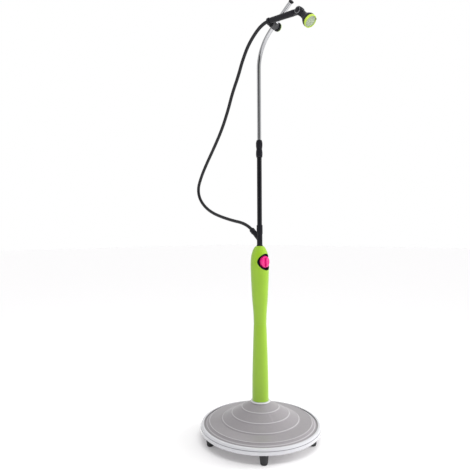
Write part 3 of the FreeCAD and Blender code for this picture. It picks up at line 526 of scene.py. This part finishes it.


# One finish: a base colour with drift, edge wear, painted shade in corners and dust, and a fine grain as bump.
def makeFinish(name, colour, roughness, grain=2500.0, grainHeight=0.02, wearAndShade=0.25, dust=0.06, metallic=0.0,
               coat=0.0, drift=0.08, specular=0.5, extra=None):
    material = bpy.data.materials.new(name)
    material.use_nodes = True
    tree = material.node_tree
    shader = tree.nodes["Principled BSDF"]
    shader.inputs["Metallic"].default_value = metallic
    shader.inputs["Coat Weight"].default_value = coat
    shader.inputs["Coat Roughness"].default_value = looks["coatRoughness"]
    shader.inputs["Specular IOR Level"].default_value = specular
    grainNode = placedGroup(tree, grainGroup, {"Grain Scale": grain, "Roughness": roughness,
                                               "Roughness Drift": drift})
    darker, lighter = shade(colour, looks["darker"]), shade(colour, looks["lighter"])
    tint = mixColour(tree, grainNode.outputs["Drift"], darker, lighter)
    height = grainNode.outputs["Height"]
    if extra:
        tint, height = extra(tree, tint, height)
    # edge wear, with painted shade darkening the hollow corners
    worn = placedGroup(tree, wearAndShadeGroup, {"Colour": tint, "Rubbed": shade(colour, looks["rubbed"]),
                                         "Grime": shade(colour, looks["cornerShade"]), "Amount": wearAndShade})
    dusty = placedGroup(tree, dustGroup, {"Colour": worn.outputs["Colour"], "Amount": dust})
    tree.links.new(dusty.outputs["Colour"], shader.inputs["Base Color"])
    duller = mathNode(tree, "MULTIPLY", dusty.outputs["Mask"], looks["dustDulls"])
    rough = mathNode(tree, "ADD", grainNode.outputs["Roughness"], duller, True)
    tree.links.new(rough, shader.inputs["Roughness"])
    bump = tree.nodes.new("ShaderNodeBump")
    bump.inputs["Strength"].default_value = looks["bump"]
    bump.inputs["Distance"].default_value = grainHeight * mm
    tree.links.new(height, bump.inputs["Height"])
    tree.links.new(bump.outputs["Normal"], shader.inputs["Normal"])
    return material


# Sockets for the distance from the upright axis and for the height.
def radiusNode(tree, place):
    split = tree.nodes.new("ShaderNodeSeparateXYZ")
    tree.links.new(place, split.inputs[0])
    squared = mathNode(tree, "ADD", mathNode(tree, "POWER", split.outputs["X"], 2.0),
                       mathNode(tree, "POWER", split.outputs["Y"], 2.0))
    return mathNode(tree, "SQRT", squared), split.outputs["Z"]


# One at a value, falling to nothing a half-width away.
def bandNode(tree, value, middle, halfWidth):
    apart = mathNode(tree, "ABSOLUTE", mathNode(tree, "SUBTRACT", value, middle))
    return rangeNode(tree, apart, halfWidth, halfWidth * 0.3)


# Radii, width, tint and strength of the painted highlights on the terrace crests, and the fine tool rings.
ringBands = {
    "lines": [86.8, 133.8, 178.8, 238.8, 252.0], "halfWidth": 2.6, "highlightTint": (0.62, 0.60, 0.63, 1),
    "amount": 0.55, "toolWaves": 2600.0, "toolTint": (0.42, 0.40, 0.42, 1), "toolShare": 0.2, "toolHeight": 0.8,
}


# Fine concentric lines as a tool leaves them in a mould, and a painted highlight along the crest of each
# terrace.
def fineRings(tree, tint, height):
    place = tree.nodes.new("ShaderNodeTexCoord").outputs["Object"]
    radius = radiusNode(tree, place)[0]
    lines = mathNode(tree, "SINE", mathNode(tree, "MULTIPLY", radius, ringBands["toolWaves"]))
    gaps = rangeNode(tree, noiseNode(tree, place, 160.0), 0.35, 0.7, 0.2, 1.0)
    broken = mathNode(tree, "MULTIPLY", lines, gaps)
    paler = mathNode(tree, "MULTIPLY_ADD", broken, 0.06)
    mixed = mixColour(tree, mathNode(tree, "ADD", paler, 0.5, True), tint, ringBands["toolTint"])
    colour = mixColour(tree, ringBands["toolShare"], tint, mixed)
    # painted highlight: a pale band along each terrace's crest
    for line in ringBands["lines"]:
        crestHighlight = bandNode(tree, radius, line * mm, ringBands["halfWidth"] * mm)
        amount = mathNode(tree, "MULTIPLY", crestHighlight, ringBands["amount"])
        colour = mixColour(tree, amount, colour, ringBands["highlightTint"])
    return colour, mathNode(tree, "ADD", height, mathNode(tree, "MULTIPLY", broken, ringBands["toolHeight"]))


# Colour and reach of the painted shade in the rim's groove and at its inner lip.
rimPaintedShade = {
    "grooveLevel": 69.6, "grooveHalf": 1.9, "lipRadius": 264.0, "lipHalf": 1.6, "amount": 0.8,
    "colour": (0.10, 0.10, 0.11, 1),
}


# Painted shade in the rim's groove and along its inner lip, where it meets the cover.
def rimShadeLines(tree, tint, height):
    place = tree.nodes.new("ShaderNodeTexCoord").outputs["Object"]
    radius, level = radiusNode(tree, place)
    # dark bands of painted shade at the groove's height and at the lip's radius
    groove = bandNode(tree, level, rimPaintedShade["grooveLevel"] * mm, rimPaintedShade["grooveHalf"] * mm)
    lip = bandNode(tree, radius, rimPaintedShade["lipRadius"] * mm, rimPaintedShade["lipHalf"] * mm)
    either = mathNode(tree, "MULTIPLY", mathNode(tree, "MAXIMUM", groove, lip), rimPaintedShade["amount"])
    return mixColour(tree, either, tint, rimPaintedShade["colour"]), height


finishValues = {
    "grey_plastic": {"colour": (0.230, 0.214, 0.227), "roughness": 0.36, "coat": 0.12, "extra": fineRings,
                     "dust": 0.06, "grainHeight": 0.05, "wearAndShade": 0.5},
    "rim_plastic": {"colour": (0.58, 0.58, 0.61), "roughness": 0.12, "coat": 0.8, "wearAndShade": 0.15,
                    "extra": rimShadeLines},
    "green_plastic": {"colour": (0.26, 0.45, 0.018), "roughness": 0.36, "coat": 0.15, "wearAndShade": 0.1,
                      "dust": 0.03},
    "magenta_plastic": {"colour": (0.70, 0.010, 0.19), "roughness": 0.22, "coat": 0.4, "wearAndShade": 0.1,
                        "dust": 0.02},
    "black_plastic": {"colour": (0.008, 0.008, 0.011), "roughness": 0.36, "grainHeight": 0.04, "wearAndShade": 0.25,
                      "specular": 0.22, "dust": 0.02},
    "grey_slider": {"colour": (0.045, 0.045, 0.050), "roughness": 0.34, "wearAndShade": 0.3, "dust": 0.02},
    "black_tube": {"colour": (0.004, 0.004, 0.006), "roughness": 0.25, "coat": 0.1, "grain": 900.0,
                   "specular": 0.35, "dust": 0.01},
    "foot_rubber": {"colour": (0.012, 0.012, 0.015), "roughness": 0.42, "grainHeight": 0.08, "wearAndShade": 0.3,
                    "dust": 0.05},
    "seal_rubber": {"colour": (0.010, 0.010, 0.010), "roughness": 0.55},
    "hose_rubber": {"colour": (0.009, 0.009, 0.011), "roughness": 0.34, "grainHeight": 0.05, "dust": 0.02,
                    "specular": 0.3},
    "chrome": {"colour": (0.56, 0.565, 0.58), "roughness": 0.16, "metallic": 1.0, "grainHeight": 0.001,
               "wearAndShade": 0.05, "drift": 0.03},
    "trim_chrome": {"colour": (0.34, 0.345, 0.36), "roughness": 0.22, "metallic": 1.0, "grainHeight": 0.002,
                    "wearAndShade": 0.05},
    "steel": {"colour": (0.5, 0.51, 0.53), "roughness": 0.3, "metallic": 1.0, "wearAndShade": 0.2},
    "brass": {"colour": (0.66, 0.47, 0.18), "roughness": 0.28, "metallic": 1.0, "wearAndShade": 0.2},
    "pipe_plastic": {"colour": (0.5, 0.5, 0.5), "roughness": 0.4},
    "lime_plastic": {"colour": (0.40, 0.54, 0.05), "roughness": 0.3, "coat": 0.3, "wearAndShade": 0.15},
    "pale_plastic": {"colour": (0.38, 0.44, 0.32), "roughness": 0.35},
}
finishes = {name: makeFinish(name, **values) for name, values in finishValues.items()}
print("stage: finishes", len(finishes))


base = {
    "rings": [(88, 150, 4), (135, 122.7, 4), (180, 98.5, 3.5), (240, 88, 3.5)], "stepWidth": 4,
    "bore": 34.5, "neckRadius": 47, "neckLevel": 176, "wall": 4, "bead": 0.9, "rimWidth": 18, "rimGroove": 17.5,
    "skirtInset": 8, "skirtFoot": 6.6, "lipInset": 14, "trimFoot": 46.5, "trimTop": 43.5, "around": 256,
    "trimAround": 128,
}


# Corners down the terraces, each edge with a small raised bead before its step.
def beadedSteps(values, before):
    corners = []
    for radius, level, drop in values["rings"]:
        slope = (level - before[1]) / (radius - before[0])
        bead, edge = values["bead"], radius + values["stepWidth"]
        corners += [(radius - 3.4, level - 3.4 * slope, 1), (radius - 2.2, level - 2.2 * slope + bead, 1),
                    (radius + 0.4, level + bead * 0.6, 1.4), (radius + 1.6, level - 1.6, 0.8),
                    (edge, level - drop, 2.4)]
        before = corners[-1]
    return corners


def makeBase(values):
    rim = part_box("base_rim")
    outer, low, high = rim[1][0] / mm, rim[0][2] / mm, rim[1][2] / mm
    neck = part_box("neck_ring")
    level, neckRadius, wall = values["neckLevel"], values["neckRadius"], values["wall"]
    edge = outer - values["skirtInset"]
    bore, lip, skirt = values["bore"], outer - values["lipInset"], low + values["skirtFoot"]
    corners = [(bore, level - 4, 0.5), (bore, level, 0.5), (neckRadius, level, 1.6), (neckRadius, level - 4, 1)]
    corners += beadedSteps(values, (neckRadius, level - 4))
    corners += [(outer - 20, high - 4, 3), (edge, high - 4, 0.6), (edge, skirt, 0.4), (edge - wall, skirt, 0.4)]
    inner = [(radius, height - wall, soft) for radius, height, soft in corners[3:-3]]
    shell = corners + [(edge - wall, high - 8, 0.4)] + inner[::-1]
    rides(turnedPiece("cover_shell", shell, around=values["around"]), "stand", "grey_plastic", "base_cover")
    groove, inside, face = low + values["rimGroove"], edge + 0.3, outer - values["rimWidth"]
    band = [(lip, low, 0.6), (outer - 3, low, 2), (outer, low + 3, 3), (outer - 0.8, groove - 1.5, 1),
            (outer - 2.4, groove, 0.5), (outer - 1.8, groove + 1.5, 0.8), (outer - 3, high - 6, 4),
            (outer - 6.5, high - 1.5, 4), (outer - 10, high, 3), (face + 2, high, 1), (face, high - 1.4, 0.8),
            (face, high - 3.8, 0.3), (inside, high - 3.8, 0.3), (inside, low + 2.2, 0.3), (lip, low + 2.2, 0.3)]
    rides(turnedPiece("rim_band", band, around=values["around"]), "stand", "rim_plastic", "base_rim")
    bottom, top = neck[0][2] / mm, neck[1][2] / mm
    trimFoot, trimTop = values["trimFoot"], values["trimTop"]
    ring = [(bore, bottom, 0.4), (trimFoot, bottom, 0.4), (trimFoot - 0.3, bottom + 2, 1.4),
            (trimTop, top, 1.4), (bore, top, 0.4)]
    rides(turnedPiece("neck_trim", ring, around=values["trimAround"]), "stand", "rim_plastic", "neck_ring")
    print("stage: base")


foot = {
    "tipRadius": 16, "topRadius": 22.5, "height": 54.4, "hole": 3, "holeDepth": 24, "count": 5, "around": 64,
}


# Tapered rubber feet with a rolled tip and a shallow ring near the top.
def makeFeet(values):
    tip, top, height, hole = values["tipRadius"], values["topRadius"], values["height"], values["hole"]
    bottom = height - values["holeDepth"]
    corners = [(0, 0), (tip - 4.6, 0, 1), (tip - 1.4, 2, 3), (tip, 6, 3), (top - 1.6, height - 9, 2),
               (top - 0.8, height - 8, 1), (top, height - 5, 1.5), (top, height, 0.6), (hole, height, 0.4),
               (hole, bottom), (0, bottom)]
    for number in range(1, values["count"] + 1):
        low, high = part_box(f"foot_{number}")
        middle = ((low[0] + high[0]) / 2, (low[1] + high[1]) / 2, low[2])
        place = Matrix.Translation(middle)
        piece = turnedPiece(f"foot_boot_{number}", corners, place, around=values["around"], closed=False)
        rides(piece, "stand", "foot_rubber", f"foot_{number}")
    print("stage: feet")


column = {
    "wall": 3, "lower": [(181, 38.5), (284, 37.7), (367, 35.7), (451, 33.0), (538, 29.7)],
    "upper": [(538, 29.7), (590, 31.5), (645, 36), (701, 39.2), (769, 42.2), (819, 43.2), (855, 40.2),
              (873, 35.8), (889, 29.4), (899, 22.6), (903, 16.8)],
    "openingRadius": 38.8, "openingLevel": 829, "openingFloor": 13.6, "edge": 0.9, "lowRows": 70,
    "highRows": 120, "lowAround": 128, "highAround": 192, "toolDepth": 90, "toolAround": 160,
}


# Cubic curve through (height, radius) stations, its slopes taken from their neighbours.
def smoothThrough(stations, count):
    heights, radii = np.array(stations, dtype=float).T
    travelled = np.concatenate([[0], np.cumsum(np.hypot(np.diff(heights), np.diff(radii)))])
    wanted = np.linspace(0, travelled[-1], count)
    curves = []
    for values in (radii, heights):
        slopes = np.gradient(values, travelled)
        span = np.clip(np.searchsorted(travelled, wanted, side="right") - 1, 0, len(values) - 2)
        width = travelled[span + 1] - travelled[span]
        share = (wanted - travelled[span]) / width
        curves.append((2 * share**3 - 3 * share**2 + 1) * values[span]
                      + (share**3 - 2 * share**2 + share) * width * slopes[span]
                      + (3 * share**2 - 2 * share**3) * values[span + 1]
                      + (share**3 - share**2) * width * slopes[span + 1])
    return np.stack(curves, axis=1)


# Closed outline of a wall that follows the stations, with its two ends rounded.
def shellOutline(stations, wall, rows, ends):
    outer = smoothThrough(stations, rows)
    across = np.gradient(outer, axis=0)
    lengths = np.hypot(across[:, 0], across[:, 1])[:, None]
    across = np.stack([-across[:, 1], across[:, 0]], axis=1) / lengths
    inner = outer + across * wall
    inner[0, 1], inner[-1, 1] = outer[0, 1], outer[-1, 1]
    corners = [(point[0], point[1], 0) for point in np.concatenate([outer, inner[::-1]])]
    corners[0] = (corners[0][0], corners[0][1], ends[0])
    corners[rows - 1] = (corners[rows - 1][0], corners[rows - 1][1], ends[1])
    return corners


def makeColumn(values):
    wall = values["wall"]
    outline = shellOutline(values["lower"], wall, values["lowRows"], (1.2, 0.9))
    lower = turnedPiece("column_shell_low", outline, around=values["lowAround"])
    rides(lower, "stand", "green_plastic", "column_lower")
    outline = shellOutline(values["upper"], wall, values["highRows"], (0.9, 1.4))
    upper = turnedPiece("column_shell_high", outline, around=values["highAround"])
    place = localFrame((values["openingFloor"] * mm, 0, values["openingLevel"] * mm), (1, 0, 0))
    radius, depth = values["openingRadius"], values["toolDepth"]
    corners = [(0, 0), (radius, 0), (radius, depth), (0, depth)]
    tool = turnedPiece("opening_tool", corners, place, around=values["toolAround"], closed=False)
    difference = upper.modifiers.new("opening", "BOOLEAN")
    difference.operation = "DIFFERENCE"
    difference.object = tool
    difference.solver = "EXACT"
    withModifiers(upper)
    bpy.data.objects.remove(tool)
    bevelled(upper, values["edge"], 3, 38)
    smoothShade(upper, 50)
    rides(upper, "stand", "green_plastic", "column_upper")
    print("stage: column")


knob = {
    "radius": 28, "back": 23, "face": 40, "flutes": 28, "fluteDepth": 0.5, "hole": 5.1, "around": 224,
    "barFront": 47, "barWidth": 12, "barLength": 50, "barRows": 60, "barColumns": 48, "barSquare": 0.55,
    "barEnds": 8, "barWaist": 0.18,
}


# Fluted disc, and a grip bar whose sections are superellipses that shrink towards its ends.
def makeKnob(values):
    def flutes(radius, height, angle):
        onRim = np.clip((radius - values["radius"] + 3) / 3, 0, 1)
        return fluted(onRim, values["fluteDepth"], values["flutes"], angle, 2)
    face, back, radius = values["face"], values["back"], values["radius"]
    level = valvePlace.translation.x / mm
    corners = [(values["hole"], back - level, 0.3), (radius - 1, back - level, 1),
               (radius, back + 2 - level, 1.5), (radius, face - 5 - level, 2),
               (radius - 2, face - 1.4 - level, 2.5), (radius - 7, face - level, 3),
               (radius - 9, face - 0.8 - level, 1), (0, face - 0.8 - level)]
    disc = turnedPiece("disc", corners, valvePlace, around=values["around"], closed=False, ripple=flutes)
    rows, columns, square = values["barRows"], values["barColumns"], values["barSquare"]
    along = np.linspace(-1, 1, rows)[:, None]
    angle = np.linspace(0, 2 * np.pi, columns, endpoint=False)[None, :]
    taper = np.clip(1 - np.abs(along) ** values["barEnds"], 0, 1) ** 0.5
    cosine, sine = np.cos(angle), np.sin(angle)
    halfWidth = values["barWidth"] / 2 * (1 - values["barWaist"] * (1 - along**2))
    depth = values["barFront"] - face + 3
    xPart = face - 3 + depth / 2 + depth / 2 * np.sign(sine) * np.abs(sine) ** square * taper
    yPart = halfWidth * np.sign(cosine) * np.abs(cosine) ** square * taper
    zPart = np.repeat(along * values["barLength"] / 2, columns, axis=1)
    points = np.stack([xPart * np.ones_like(zPart), yPart * np.ones_like(zPart), zPart], axis=-1) * mm
    points[..., 2] += valvePlace.translation.z
    bar = gridPiece("bar", points)
    finishMesh(bar, upright, 50)
    piece = joined("knob_grip", [disc, bar])
    smoothShade(piece, 45)
    rides(piece, "valve_control", "magenta_plastic", "valve_knob", "knob_cap")
    cup = crisp("knob_recess", "recess_cup", 0.5)
    rides(cup, "stand", "black_plastic", "knob_recess")
    print("stage: knob")


branch = {
    "ribs": 24, "ribDepth": 0.55, "ribFoot": 12.2, "ribReach": 9.5, "half": 12, "bore": 8.15, "way": (-1, 0, 1),
}


def makeBranch(values):
    fitting = softened("branch_fitting", "branch_body", 0.5, 5)
    rides(fitting, "stand", "black_plastic", "branch_fitting")
    low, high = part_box("branch_ferrule")
    middle = (Vector(low) + Vector(high)) / 2

    def ribs(radius, height, angle):
        onRim = np.clip((radius - values["ribFoot"]) / 0.6, 0, 1) * (np.abs(height) < values["ribReach"])
        return fluted(onRim, values["ribDepth"], values["ribs"], angle, 3)
    half, bore = values["half"], values["bore"]
    corners = [(10.6, -half, 0.3), (12, -half, 0.8), (13, -10.4, 0.8), (13, 7.4, 1), (11.2, 11.6, 1.4),
               (9.6, half, 0.6), (bore, half, 0.3), (bore, 0), (10.6, 0)]
    place = localFrame(middle, Vector(values["way"]).normalized())
    nut = turnedPiece("ferrule_nut", corners, place, around=192, ripple=ribs)
    rides(nut, "stand", "black_plastic", "branch_ferrule")
    print("stage: branch")


lock = {
    "radius": 15.5, "waist": 13.3, "ribs": 18, "ribDepth": 0.7, "around": 180, "bodyBore": 11.5,
    "socketBore": 12.9, "socketDepth": 21.8, "nutBore": 13.3, "nutDepth": 25, "guideBore": 9.9,
    "tubeRadius": 11.4, "tubeBore": 10,
}


# Two bulged halves of the twist lock with long grip ribs, the tubes and the tip cap.
def makeMast(values):
    low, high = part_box("lock_body")[0][2] / mm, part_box("lock_nut")[1][2] / mm
    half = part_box("lock_nut")[0][2] / mm
    radius, waist = values["radius"], values["waist"]

    def ribs(r, height, angle):
        onRim = np.clip((r - waist - 0.6) / 1.2, 0, 1)
        return fluted(onRim, values["ribDepth"], values["ribs"], angle, 2)
    bore, socket, top = values["bodyBore"], values["socketBore"], half + values["socketDepth"]
    body = [(bore, low, 0.4), (13, low, 1), (14.9, low + 6, 4), (radius, low + 14, 8), (radius, low + 24, 8),
            (14.6, low + 32, 5), (waist, half - 1, 1), (socket, half - 1), (socket, top), (bore, top)]
    piece = turnedPiece("lock_half_low", body, around=values["around"], ripple=ribs)
    rides(piece, "stand", "black_plastic", "lock_body")
    bore, guide, foot, top = values["nutBore"], values["guideBore"], half + 0.1, half + values["nutDepth"]
    nut = [(bore, foot, 0.3), (waist + 0.1, foot, 0.6), (14.7, half + 7, 5), (radius, half + 16, 8),
           (radius, half + 26, 8), (14.2, high - 7, 5), (12, high, 1.4), (guide, high, 0.5), (guide, top),
           (bore, top)]
    piece = turnedPiece("lock_half_high", nut, around=values["around"], ripple=ribs)
    rides(piece, "lock", "black_plastic", "lock_nut")
    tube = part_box("mast_outer_tube")
    foot, top, outer, bore = tube[0][2] / mm, tube[1][2] / mm, values["tubeRadius"], values["tubeBore"]
    corners = [(bore, foot, 0.3), (outer, foot, 0.3), (outer, top, 0.4), (bore, top, 0.3)]
    rides(turnedPiece("outer_tube", corners), "stand", "black_tube", "mast_outer_tube")
    makeInnerTube(bentTube)
    print("stage: mast")


bentTube = {
    "radius": 9.5, "bore": 8.5, "bendRadius": 200, "tip": 135.8, "around": 72, "straightRows": 60,
    "bendRows": 60, "tipRows": 14,
    "cap": [(0, -12), (8.3, -12, 0.6), (8.3, 0.2), (9.9, 0.2, 0.4), (10.2, 2, 2), (12.0, 6.4, 2), (12.1, 9, 1),
            (10.8, 10.4, 1.2), (0, 10.1)],
}


# Circle carried up the straight run, round the bend and out along the inclined end.
def makeInnerTube(values):
    way = Vector(jointNamed["slider_slide"]["axis"])
    turn = math.atan2(way.x, way.z)
    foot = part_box("mast_inner_tube")[0][2] / mm
    bend = values["bendRadius"]
    centre = sliderPlace.translation / mm
    bendTop = centre - way * (centre.x - bend * (1 - math.cos(turn))) / way.x
    start = bendTop.z - bend * math.sin(turn)
    straight = np.linspace(foot, start, values["straightRows"])
    arc = np.linspace(0, turn, values["bendRows"])[1:]
    runs = np.linspace(0, values["tip"], values["tipRows"])[1:]
    line = [(0, 0, height) for height in straight]
    line += [(bend * (1 - math.cos(step)), 0, start + bend * math.sin(step)) for step in arc]
    line += [tuple(bendTop + way * run) for run in runs]
    line = np.array(line) * mm
    ring = ringsAlong(line, values["around"])[0]
    outer = line[:, None, :] + ring * values["radius"] * mm
    inner = (line[:, None, :] + ring * values["bore"] * mm)[::-1]
    piece = gridPiece("inner_tube", np.concatenate([outer, inner]), closedAlong=True)
    finishMesh(piece, upright, 50)
    rides(piece, "mast", "chrome", "mast_inner_tube")
    tipPlace = localFrame((bendTop + way * values["tip"]) * mm, way)
    cap = turnedPiece("tip_cap", values["cap"], tipPlace, closed=False)
    rides(cap, "mast", "black_plastic", "mast_end_cap")


clamp = {"radius": 20, "lobes": 12, "lobeDepth": 1.9, "rim": 3.2, "bore": 3.1, "pocket": 5.7, "around": 240}


def makeSlider(values):
    rides(softened("slider_body", "slider_block", 0.45, 4), "slider", "grey_slider", "slider_body")
    rides(softened("handset_holder", "holder_cradle", 0.45, 4), "holder", "black_plastic", "handset_holder")
    low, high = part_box("clamp_knob")
    place = clampPlace.copy()
    place.translation.y = low[1]
    depth = (high[1] - low[1]) / mm

    def lobes(radius, height, angle):
        onRim = np.clip((radius - values["radius"] + rim) / rim, 0, 1)
        return fluted(onRim, values["lobeDepth"], values["lobes"], angle, 2)
    radius, rim, bore, pocket = values["radius"], values["rim"], values["bore"], values["pocket"]
    corners = [(bore, 0.1, 0.2), (radius - rim, 0.1, 1.5), (radius, rim, 2), (radius, depth - 1.4, 1),
               (radius - 1.2, depth, 0.8), (pocket, depth, 0.2), (pocket, 0.4), (bore, 0.4)]
    wheel = turnedPiece("clamp_wheel", corners, place, around=values["around"], ripple=lobes)
    rides(wheel, "clamp", "black_plastic", "clamp_knob")
    face = (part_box("clamp_knob_cap")[1][1] - low[1]) / mm
    corners = [(0, depth + 0.1), (radius - 1.4, depth + 0.1, 0.3), (radius - 1.1, depth + 1.8, 0.8),
               (radius - rim, face, 2.4), (0, face - 0.3)]
    rides(turnedPiece("clamp_disc", corners, place, closed=False), "clamp", "green_plastic", "clamp_knob_cap")
    print("stage: slider")


shower = {
    "handleLength": 160, "tailLength": 17, "tailRadius": 11, "tailBore": 8.25, "ribs": 16,
    "ribDepth": 0.4, "headLength": 87, "faceRadius": 28, "faceBore": 23.6, "ringDepth": 12, "knurls": 26,
    "knurlDepth": 0.8,
}


# Handle, spray head, dial ring, plate and nozzles.
def makeShower(values):
    rides(softened("handle_body", "handle_moulding", 0.5, 4), "handset", "black_plastic", "handle_body")
    rides(softened("head_body", "head_moulding", 0.5, 4), "head", "black_plastic", "head_body")
    rides(crisp("pivot_caps", "pivot_discs", 0.5), "head", "black_plastic", "pivot_caps")
    rides(crisp("pivot_trims", "pivot_rings", 0.3), "head", "trim_chrome", "pivot_trims")
    tail = handsetPlace @ Matrix.Translation((0, 0, -values["handleLength"] * mm))

    def grip(radius, height, angle):
        onRim = np.clip((radius - tailRadius + 0.8) / 0.6, 0, 1)
        return fluted(onRim, values["ribDepth"], values["ribs"], angle, 3)
    end, tailRadius, bore = -values["tailLength"], values["tailRadius"], values["tailBore"]
    nut = [(bore, end, 0.3), (9.6, end, 0.6), (tailRadius, end + 2, 1), (tailRadius, -1.8, 0.6),
           (tailRadius - 1, -0.2, 0.5), (4.6, -0.2), (4.6, end + 6.2), (bore, end + 6.2)]
    piece = turnedPiece("tail_collar", nut, tail, around=160, ripple=grip)
    rides(piece, "handset", "black_plastic", "tail_nut")
    length, radius, bore = values["headLength"], values["faceRadius"], values["faceBore"]
    low = length - values["ringDepth"] + 0.3

    def knurl(r, height, angle):
        onRim = np.clip((r - radius + 1.3) / 1.0, 0, 1)
        return fluted(onRim, values["knurlDepth"], values["knurls"], angle, 2)
    ring = [(bore, low, 0.3), (radius - 0.9, low, 0.8), (radius, low + 2, 1), (radius, length - 2.6, 1.4),
            (radius - 2.1, length, 1.2), (25, length, 0.6), (bore, length - 3, 0.6)]
    piece = turnedPiece("dial_ring", ring, headPlace, around=240, ripple=knurl)
    rides(piece, "spray_dial", "lime_plastic", "face_ring")
    rides(crisp("spray_plate", "plate_disc", 0.3), "spray_dial", "pale_plastic", "spray_plate")
    rides(crisp("dial_tab", "dial_thumb", 0.6), "spray_dial", "black_plastic", "dial_tab")
    print("stage: hand shower")


makeBase(base)
makeFeet(foot)
makeColumn(column)
makeKnob(knob)
makeBranch(branch)
makeMast(lock)
makeSlider(clamp)
makeShower(shower)


slots = {entry["node"]: entry["material_slot"] for entry in frame["record"]["subparts"]}


def finishOf(piece):
    return finishes[slots[piece.name]] if piece.name in slots else finishes[piece["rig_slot"]]


for item in list(bpy.data.objects):
    if item.type == "MESH":
        item.data.materials.clear()
        item.data.materials.append(finishOf(item))
print("stage: finishes placed")


studio = {
    "floor": (0.86, 0.855, 0.86), "floorGlow": 0.17, "sun": 2.55, "sunFrom": (0.62, 0.78, 0.31),
    "sunSpread": 36,
    "sky": 0.78, "dark": 0.05, "darkTowards": -56, "darkEdge": (0.45, 0.92), "floorReach": 30,
    "glowTint": (1, 0.99, 0.995, 1),
    "lamps": [("right", (0.45, 2.1, 1.4), (0.35, 2.4), 5, (1, 0.99, 0.97)),
              ("front", (1.32, -1.18, 2.4), (1.3, 0.6), 34, (1, 1, 1))],
}


# White to the camera; to everything else bright all round but dark on the camera's side.
def makeAir(values):
    world = bpy.data.worlds.new("air")
    world.use_nodes = True
    scene.world = world
    tree = world.node_tree
    seen = tree.nodes["Background"]
    seen.inputs["Color"].default_value = (1, 1, 1, 1)
    seen.inputs["Strength"].default_value = 1.0
    lit = tree.nodes.new("ShaderNodeBackground")
    lit.inputs["Strength"].default_value = values["sky"]
    turn = math.radians(values["darkTowards"])
    facing = tree.nodes.new("ShaderNodeVectorMath")
    facing.operation = "DOT_PRODUCT"
    facing.inputs[1].default_value = (math.cos(turn), math.sin(turn), 0)
    tree.links.new(tree.nodes.new("ShaderNodeTexCoord").outputs["Generated"], facing.inputs[0])
    low, high = values["darkEdge"]
    share = rangeNode(tree, facing.outputs["Value"], low, high)
    grey = values["dark"]
    tree.links.new(mixColour(tree, share, (1, 1, 1, 1), (grey, grey, grey * 1.06, 1)), lit.inputs["Color"])
    either = tree.nodes.new("ShaderNodeMixShader")
    tree.links.new(tree.nodes.new("ShaderNodeLightPath").outputs["Is Camera Ray"], either.inputs[0])
    tree.links.new(lit.outputs[0], either.inputs[1])
    tree.links.new(seen.outputs[0], either.inputs[2])
    tree.links.new(either.outputs[0], tree.nodes["World Output"].inputs["Surface"])


def makeLamp(name, kind, place, power, colour, aim=(0, 0, 0.9)):
    data = bpy.data.lights.new(name, kind)
    data.energy = power
    data.color = colour
    lamp = bpy.data.objects.new(name, data)
    lamp.location = place
    lamp.rotation_euler = (Vector(place) - Vector(aim)).to_track_quat("Z", "Y").to_euler()
    lamp.visible_glossy = False  # mirrored in the chrome tube, a lamp burns a white stripe down it
    scene.collection.objects.link(lamp)
    return lamp


def makeStudio(values):
    mesh = bpy.data.meshes.new("floor")
    reach = values["floorReach"]
    corners = [(-reach, -reach, 0), (reach, -reach, 0), (reach, reach, 0), (-reach, reach, 0)]
    mesh.from_pydata(corners, [], [(0, 1, 2, 3)])
    floor = bpy.data.objects.new("floor", mesh)
    scene.collection.objects.link(floor)
    material = bpy.data.materials.new("floorPaper")
    material.use_nodes = True
    shader = material.node_tree.nodes["Principled BSDF"]
    shader.inputs["Base Color"].default_value = values["floor"] + (1,)
    shader.inputs["Roughness"].default_value = 1.0
    shader.inputs["Specular IOR Level"].default_value = 0.0
    shader.inputs["Emission Color"].default_value = values["glowTint"]
    shader.inputs["Emission Strength"].default_value = values["floorGlow"]
    mesh.materials.append(material)
    sun = makeLamp("sun", "SUN", values["sunFrom"], values["sun"], (1, 1, 1), aim=(0, 0, 0))
    sun.data.angle = math.radians(values["sunSpread"])
    for name, place, size, power, colour in values["lamps"]:
        lamp = makeLamp(name, "AREA", place, power, colour)
        lamp.data.shape = "RECTANGLE"
        lamp.data.size, lamp.data.size_y = size
    makeAir(values)
    scene.view_settings.view_transform = "Standard"
    print("stage: studio")


makeStudio(studio)
